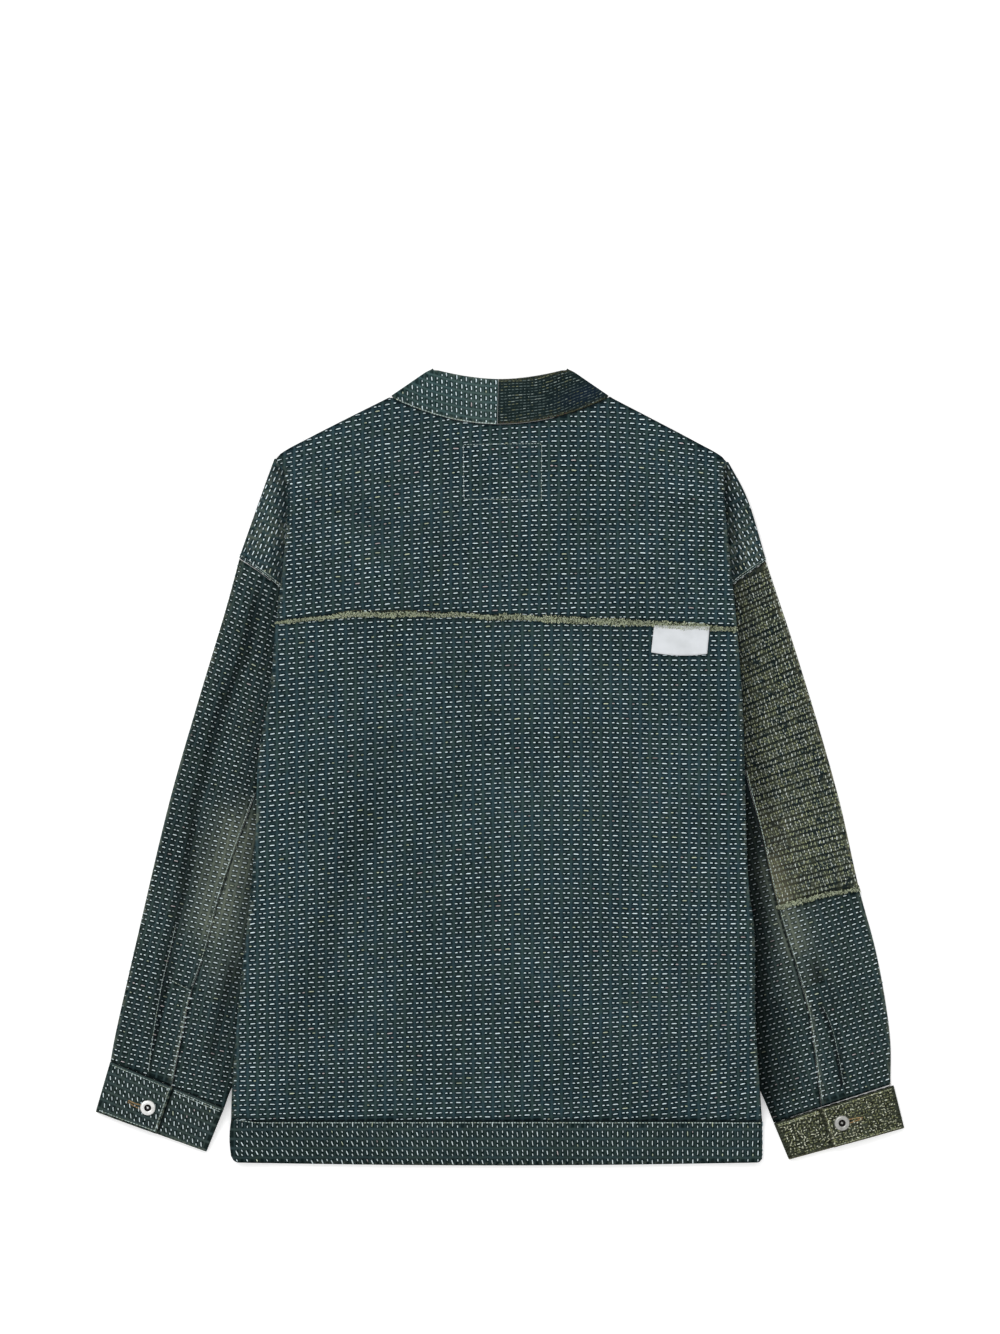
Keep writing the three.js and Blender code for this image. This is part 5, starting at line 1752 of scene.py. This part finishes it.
def cuff_rows(side, t):
    """Where a cuff starts and ends at t down it, and the direction across it."""
    t = np.asarray(t)[..., None]
    outer = lerp(np.array(side.cuff_top[0]), np.array(side.cuff_bottom[0]), t)
    inner = lerp(np.array(side.cuff_top[1]), np.array(side.cuff_bottom[1]), t)
    across = (inner - outer) / np.linalg.norm(inner - outer, axis=-1, keepdims=True)
    inset = 1.2 + BAND_TURN
    return outer + across * inset, inner - across * inset, across


def cuff_point(side, t, a, angle, cover):
    outer, inner, across = cuff_rows(side, t)
    place = lerp(outer, inner, a[..., None])
    middle = sleeve_level(side, place[..., 0], place[..., 1]) - SLEEVE_Z + BAND_Z + BAND_TURN
    place = place + across * (np.where(a > 0.5, 1, -1) * BAND_TURN * np.cos(angle))[..., None]
    swell = CUFF_SWELL * np.sin(math.pi * t) * np.maximum(np.sin(angle), 0)
    height = middle + BAND_TURN * np.sin(angle) + cover * COVER + swell
    return np.concatenate([place, height[..., None]], -1)


def cuff_wall(side):
    hidden, up = side.cuff_hidden, math.pi / 2
    flat, roll = np.linspace(0, 1, CUFF_ACROSS), 0 * HALF_TURN
    lap = side.cuff_overlap * np.linspace(0, 1, CUFF_LAPPED)
    a = np.concatenate([lerp(hidden, 1, flat), 1 + roll, 1 - flat, roll, lap])
    turn = np.concatenate([0 * flat + up, HALF_TURN, 0 * flat - up, HALF_TURN[::-1], 0 * lap + up])
    cover = np.concatenate([0 * flat, roll, 0 * flat, roll, smooth(lap, 0, hidden - 0.08)])
    t = np.linspace(-0.007, 1, 16)[:, None] * np.ones(len(a))
    points = cuff_point(side, t, *(part * np.ones(t.shape) for part in (a, turn, cover)))
    return woven_wall(side, points, side.cuff_weave, BAND)


def cuff_shares(side, x, y):
    """How far down and across a cuff a place is."""
    place = np.stack([np.abs(x), y], -1)
    top, bottom = np.array(side.cuff_top), np.array(side.cuff_bottom)
    down = (bottom[0] - top[0]) / np.linalg.norm(bottom[0] - top[0]) ** 2
    t = np.clip((place - top[0]) @ down, 0, 1)
    for _ in range(2):
        outer, inner, across = cuff_rows(side, t)
        width = np.linalg.norm(inner - outer, axis=-1)
        a = ((place - outer) * across).sum(-1) / width
        seam = lerp(outer, inner, a[..., None])
        off = place - seam
        down = bottom[0] - top[0]
        t = np.clip(t + (off * down).sum(-1) / np.linalg.norm(down) ** 2, 0, 1)
    return t, a


def cuff_place(side):
    def at(x, y):
        t, a = cuff_shares(side, x, y)
        lapped = np.where(a <= side.cuff_overlap, smooth(a, 0, side.cuff_hidden - 0.08), 0)
        middle = sleeve_level(side, np.abs(x), y) - SLEEVE_Z + BAND_TOP_Z
        swell = CUFF_SWELL * np.sin(math.pi * t)
        return np.stack([x, y + 0 * x, middle + lapped * COVER + swell], -1)
    return at


def cuff_paint(side):
    def paint(x, y, z):
        t, a = cuff_shares(side, x, y)
        past = a - side.cuff_overlap
        rubbed = 0.6 * np.exp(-(past / 0.03) ** 2) * (past <= 0)
        wear = np.maximum(0.75 * smooth(t, 0.93, 1.0), rubbed)
        # painted shadow that the lapped end casts beside its edge
        gap, depth = (0.014, 0.8) if side is left else (0.008, 0.4)
        shade = depth * np.exp(-((past - 0.75 * gap) / gap) ** 2) * (past > 0)
        return {"fade": 0.09 if side is left else 0.0, "wear": wear, "shade": shade}
    return paint


def cuff_outline(side, first, last):
    """Outline of a stretch of a cuff between two shares of its width."""
    t = np.linspace(0.04, 0.96, 12)
    outer, inner, _across = cuff_rows(side, t)
    return np.concatenate([lerp(outer, inner, first),
                           lerp(outer, inner, last)[::-1]]) * (side.sign, 1)


def cuff_underside(side):
    def at(x, y):
        return np.stack([x, y + 0 * x, sleeve_level(side, np.abs(x), y) - SLEEVE_Z + BAND_Z], -1)
    return at


cuff_thread = thread_material(
    "cuff_slub_thread", (0.36, 0.37, 0.26), (0.20, 0.215, 0.11), (0.62, 0.64, 0.50), 0.7)
olive_cuff_cloth = olive_cloth("olive_cuff_cloth", 0.0, (0.013, 0.014, 0.008))
left.cuff_cloth, right.cuff_cloth = worn_indigo, olive_cuff_cloth
left.cuff_slot, right.cuff_slot = "indigo_cloth", "olive_cloth"
for side in SIDES:
    side.cuff = cloth_object(
        f"cuff_cloth_{side.name}", f"cuff_{side.name}", [cuff_wall(side)], side.cuff_cloth,
        cuff_paint(side), side.cuff_slot)


def tweed_dashes(outline, seed):
    """Short slubs lying all ways, close together and over each other."""
    ends = running_stitch(outline, cell=(2.9, 2.7), angle=15, seed=seed, pairs=False, loose=4.0)
    rng = np.random.default_rng(seed + 1)
    middle = ends.mean(1)
    angle = rng.choice([0.26, 1.6, 0.9, -0.4], len(ends), p=[0.4, 0.25, 0.2, 0.15])
    angle = angle + rng.normal(0, 0.35, len(ends))
    half = np.stack([np.cos(angle), np.sin(angle)], -1) * rng.uniform(0.7, 1.7, len(ends))[:, None]
    return np.stack([middle - half, middle + half], 1)


LAP_CLEAR = 0.012  # shares of a cuff's width kept free each side of its lapped edge
left.stretches = {"lapped": (0.0, left.cuff_overlap - LAP_CLEAR),
                  "under": (left.cuff_overlap + 0.03, 0.99)}
right.stretches = {"lapped": (0.0, right.cuff_overlap - 0.004),
                   "under": (right.cuff_overlap + 0.014, 0.99)}
left.cuff_details = [
    dashes(f"cuff_left_{part}_stitches",
           running_stitch(cuff_outline(left, *ends), seed=121, **left.cuff_weave),
           laid_on(cuff_place(left), BAND / 2), worn_thread, 1.13, seed=122, paint=cuff_paint(left))
    for part, ends in left.stretches.items()]
right.cuff_details = [
    dashes(f"cuff_right_{part}_slubs", tweed_dashes(cuff_outline(right, *ends), 123),
           laid_on(cuff_place(right), BAND / 2), cuff_thread, 1.15, 0.5, seed=124,
           paint=cuff_paint(right), slot="olive_cloth")
    for part, ends in right.stretches.items()]
cuff_left_under = dashes(
    "cuff_left_underside_stitches",
    running_stitch(cuff_outline(left, 0.01, 0.99), seed=125, **left.cuff_weave),
    laid_on(cuff_underside(left), BAND / 2, -1), pale_thread, width=1.2, height=UNDER_HEIGHT,
    seed=126)
cuff_right_under = dashes(
    "cuff_right_underside_slubs", tweed_dashes(cuff_outline(right, 0.01, 0.99), 127),
    laid_on(cuff_underside(right), BAND / 2, -1), olive_thread, 1.0, UNDER_HEIGHT, seed=128,
    slot="olive_cloth")

# ---- Topstitching ----
# Fine lines of machine stitches that hold the seams down, in grey-green thread, and in straw on the
# olive cloth, and dark strips of painted shadow along the gaps at seams and slits.

seam_thread = thread_material(
    "topstitch_thread", (0.43, 0.53, 0.50), (0.38, 0.44, 0.36), (0.58, 0.68, 0.65), 0.3)
brown_thread = thread_material(
    "brown_olive_topstitch", (0.075, 0.075, 0.045), (0.12, 0.115, 0.06), (0.10, 0.06, 0.05), 0.4)
straw_thread = thread_material(
    "straw_topstitch", (0.36, 0.39, 0.26), (0.38, 0.39, 0.20), (0.46, 0.49, 0.38), 0.4)
GAP_PITCH = 9


def topstitch(name, paths, place, lift, material, slot="indigo_cloth", pitch=2.9, width=0.62,
              height=0.3, seed=1):
    """Stitches end to end along lines of (x, y) points that lie on a surface."""
    ends = []
    for path in paths:
        path = np.array(path, float)
        along = np.concatenate([[0], np.cumsum(np.linalg.norm(np.diff(path, axis=0), axis=1))])
        count = max(1, round(along[-1] / pitch))
        marks = np.linspace(0, along[-1], count + 1)
        places = np.stack([np.interp(marks, along, path[:, k]) for k in (0, 1)], -1)
        ends.append(np.stack([lerp(places[:-1], places[1:], k) for k in (0.03, 0.97)], 1))
    return dashes(name, np.concatenate(ends), laid_on(place, lift), material, width, height, seed,
                  slot=slot)


# painted shadow: near-black strips laid along the gaps at seams and slits
gap_shadow = thread_material(
    "painted_gap_shadow", (0.006, 0.010, 0.012), (0.008, 0.013, 0.014), (0.005, 0.008, 0.010), 0.4)


def gap_line(name, paths, place, width, height, seed, lift=CLOTH / 2, slot="indigo_cloth"):
    """A dark strip of painted shadow where cloth goes down into a seam or a slit."""
    topstitch(name, paths, place, lift, gap_shadow, slot, GAP_PITCH, width, height, seed)


def nape_line(first, last, count):
    return nape_edges(np.linspace(first, last, count))[0]


NAPE_BOX = [(-34.7, 305), (39.4, 306), (39.0, 252.7), (-34.2, 253.5), (-34.7, 305)]
topstitch(
    "nape_box_stitching", [NAPE_BOX], back_place, CLOTH / 2, seam_thread, width=0.55, height=0.2,
    seed=131)
edge_line = yoke_line + np.stack([0 * yoke_half, yoke_half + 0.7], -1)
gap_line("yoke_edge_gap", [edge_line], back_place, 1.1, 0.12, 144)
brown = edge_line[(fray_x > -155) & (fray_x < -55)] + (0, 0.6)
topstitch("yoke_edge_stitching", [brown], back_place, CLOTH / 2, brown_thread, width=0.8, seed=145)
hem_line = [np.stack([hem_x, hem_seam(hem_x) - SEAM - 1.5], -1)]
topstitch("hem_seam_stitching", hem_line, hem_place, BAND / 2, seam_thread, width=1.0, seed=132)
gap_line("hem_seam_gap", [np.stack([hem_x, hem_seam(hem_x) + 0.9], -1)], back_place, 1.5, 0.12, 138)
collar_end = COLLAR_FOLD_NECK[0] - 3
neck_line = nape_line(NAPE_X - 1, -collar_end, 60) + (0, 0.6)
topstitch("neck_seam_stitching", [neck_line], collar_place, BAND / 2, seam_thread, width=1.1,
          seed=133)
gap_line("neck_seam_gap", [nape_line(-collar_end, collar_end, 80) - (0, 1.4)], back_place, 1.6,
         0.12, 142)
dark_line = nape_line(NAPE_X + 2, collar_end, 60) + (0, 0.6)
topstitch("neck_seam_dark_stitching", [dark_line], collar_place, BAND / 2, brown_thread,
          "dark_cloth", 2.4, 0.8, 0.3, 143)
left.slit_place, left.slit_lift, left.slit_width = sleeve_top(left), CLOTH / 2, 1.5
right.slit_place, right.slit_lift, right.slit_width = placket_place(right), PLACKET_WALL / 2, 2.3
left.cuff_seam_thread, right.cuff_seam_thread = seam_thread, straw_thread
left.bar = placket_grid(left)[0] * (-1, 1) - (0, 1.2)
right.bar = np.array([(294, -240), (301.5, -238.5)])


def cuff_line(side, t, shares):
    """Points at shares of the way round a cuff, t of the way down it."""
    outer, inner, _across = cuff_rows(side, np.array(t))
    return [lerp(outer, inner, k) * (side.sign, 1) for k in shares]


for side in SIDES:
    name, mirror, top = side.name, (side.sign, 1), sleeve_top(side)
    hole = side.armhole_curve(np.linspace(0, 0.42, 40))
    lines = [(hole + (0.3, gap)) * mirror for gap in (1.2, 3.4)]
    topstitch(f"armhole_stitching_{name}", lines, wedge_place(side), CLOTH / 2, seam_thread,
              seed=134)
    gap_line(f"armhole_gap_{name}", [(hole + (0.1, 0.15)) * mirror], wedge_place(side), 1.2, 0.08,
             147)
    s = np.linspace(0.06, 0.985, 120)
    seam = sleeve_place(side, s, side.seam_share(s) - 1.2 / width_at(side, s))[0]
    shown = seam[seam[:, 0] > side.fold_x(seam[:, 1]) + 1.5]
    upper = shown[shown[:, 1] > PLACKET_TOP + 1]
    lower = shown[shown[:, 1] < PLACKET_TOP - 2]
    topstitch(f"back_seam_stitching_{name}", [upper * mirror], top, CLOTH / 2, seam_thread,
              width=0.75, seed=135)
    slit = np.array(side.slit)
    gap_line(f"slit_{name}", [slit * mirror], side.slit_place, side.slit_width, 0.35, 139,
             side.slit_lift)
    topstitch(f"slit_edge_{name}", [(slit + (1.7, 0)) * mirror], side.slit_place, side.slit_lift,
              seam_thread, width=0.7, seed=140)
    beside = [(part - (2.2, 0)) * mirror for part in (upper, lower)]
    gap_line(f"back_seam_gap_{name}", beside, top, 1.5, 0.3, 141)
    topstitch(f"placket_stitching_{name}", [lower * mirror, side.bar], placket_place(side),
              PLACKET_WALL / 2, seam_thread, width=0.75, seed=136)
    lapped, under = (0, side.cuff_overlap - LAP_CLEAR), (side.cuff_overlap + 0.02, 1)
    [lap_line] = cuff_line(side, np.linspace(0.03, 0.97, 10), [side.cuff_overlap - 0.022])
    lines = [cuff_line(side, 0.045, lapped), cuff_line(side, 0.045, under),
             cuff_line(side, 0.085, under), lap_line, cuff_line(side, 0.955, lapped)]
    topstitch(f"cuff_stitching_{name}", lines, cuff_place(side), BAND / 2, side.cuff_seam_thread,
              side.cuff_slot, width=0.85, height=0.4, seed=137)
    seam_gap = np.linspace(*cuff_line(side, -0.014, (-0.02, 1.02)), 30)
    gap_line(f"cuff_seam_gap_{name}", [seam_gap], top, 1.3, 0.1, 146, slot=side.cuff_slot)

# ---- Buttons ----
# Pressed metal discs with a rolled rim, a dark well and a rivet in the middle of it, bright on
# the left cuff and dull on the right. Each is worn by a worked buttonhole in tan thread.

BUTTON_R = 7.3
BUTTON_TURNS = 48
SHANK = 1.2  # from the cuff's cloth to the back of the disc
RIM = [(1.0, 0.0), (1.0, 0.8), (0.985, 1.2), (0.93, 1.75), (0.84, 2.25), (0.72, 2.55), (0.58, 2.62),
       (0.5, 2.5), (0.455, 2.25)]
WELL = [(0.43, 1.6), (0.3, 1.15), (0.15, 1.1)]
RIVET = [(0.12, 1.35), (0.105, 1.6), (0.07, 1.72), (0.0, 1.76)]
left.button, right.button = (334, -324), (324.3, -338.5)

metal, given, metal_out = node_group(
    "handled metal", {"Metal": COLOUR, "Tarnish": COLOUR},
    {"Color": COLOUR, "Roughness": NUMBER, "Height": NUMBER})
place = metal.add("ShaderNodeTexCoord").outputs["Object"]
spots = metal.noise(place, 420.0, 3.0)
scratches = metal.noise(metal.stretch(place, 3200.0, 500.0, 500.0), 1.0, 2.0)
metal.put(metal_out.inputs["Color"],
          metal.blend(metal.ease(spots, 0.45, 0.75), given["Metal"], given["Tarnish"]))
metal.put(metal_out.inputs["Roughness"], metal.ease(spots, 0.3, 0.7, 0.24, 0.42))
metal.put(metal_out.inputs["Height"], scratches)


def button_metal(name, colour, tarnish, metallic=1.0):
    material, nodes = new_material(name)
    base = group_node(nodes, "handled metal", Metal=colour, Tarnish=tarnish)
    surface(nodes, base["Color"], base["Roughness"], base["Height"], 0.03, Metallic=metallic)
    return material


def turned(name, profile, materials, breaks):
    """A disc turned from a profile of (share of the radius, height). breaks are the profile
    points at which the next material starts."""
    rings = [(r * BUTTON_R, z) for r, z in profile[:-1]]
    angles = np.linspace(0, 2 * math.pi, BUTTON_TURNS, endpoint=False)
    verts = [(r * math.cos(a), r * math.sin(a), z) for r, z in rings for a in angles]
    n = BUTTON_TURNS
    faces = [tuple(reversed(range(n)))]
    wear = [0]
    for k in range(len(rings) - 1):
        for i in range(n):
            j = (i + 1) % n
            faces.append((k * n + i, k * n + j, (k + 1) * n + j, (k + 1) * n + i))
            wear.append(sum(k >= b for b in breaks))
    verts.append((0, 0, profile[-1][1]))
    top = (len(rings) - 1) * n
    faces += [(top + i, top + (i + 1) % n, len(verts) - 1) for i in range(n)]
    wear += [len(breaks)] * n
    mesh = bpy.data.meshes.new(name)
    mesh.from_pydata(verts, [], faces)
    for material in materials:
        mesh.materials.append(material)
    mesh.polygons.foreach_set("material_index", wear)
    mesh.polygons.foreach_set("use_smooth", [True] * len(faces))
    return mesh


well_metal, nodes = new_material("button_well")
grime = nodes.noise(nodes.add("ShaderNodeTexCoord").outputs["Object"], 900.0, 2.0)
surface(nodes, nodes.blend(grime, (0.004, 0.004, 0.004), (0.016, 0.016, 0.015)), 0.85, grime, 0.05,
        Specular_IOR_Level=0.05)
finishes = {
    left: (button_metal("bright_button_metal", (0.86, 0.86, 0.84), (0.62, 0.62, 0.6), 0.75),
           "bright_metal"),
    right: (button_metal("dull_button_metal", (0.42, 0.42, 0.40), (0.27, 0.27, 0.25), 0.75),
            "dull_metal"),
}
tan_thread = thread_material(
    "buttonhole_thread", (0.40, 0.25, 0.11), (0.46, 0.31, 0.14), (0.34, 0.20, 0.09), 0.4)
left.buttonhole = [[(352.4, -317.2), (346, -320.2), (340.6, -321.6)],
                   [(353.2, -318.6), (347, -322.6), (341, -325.4)]]
right.buttonhole = [[(344, -333.2), (338, -333.6), (331, -335.0)],
                    [(343.6, -334.6), (337, -336.4), (331.2, -338.6)]]
for side in SIDES:
    finish, slot = finishes[side]
    mesh = turned(f"button_disc_{side.name}", RIM + WELL + RIVET, [finish, well_metal, finish],
                  (8, 11))
    x, y = side.button
    top = float(sleeve_level(side, x, y)) - SLEEVE_Z + BAND_TOP_Z + COVER + SHANK + SEAM
    for v in mesh.vertices:
        v.co = ((v.co.x + side.sign * x) * MM, (v.co.y + y) * MM, (v.co.z + top) * MM)
    fasten(put_in_scene(f"button_disc_{side.name}", mesh), slot, f"button_{side.name}")
    holes = [np.array(path) * (side.sign, 1) for path in side.buttonhole]
    topstitch(f"buttonhole_{side.name}", holes, cuff_place(side), BAND / 2, tan_thread,
              side.cuff_slot, 1.1, 1.3, 0.6, 141)
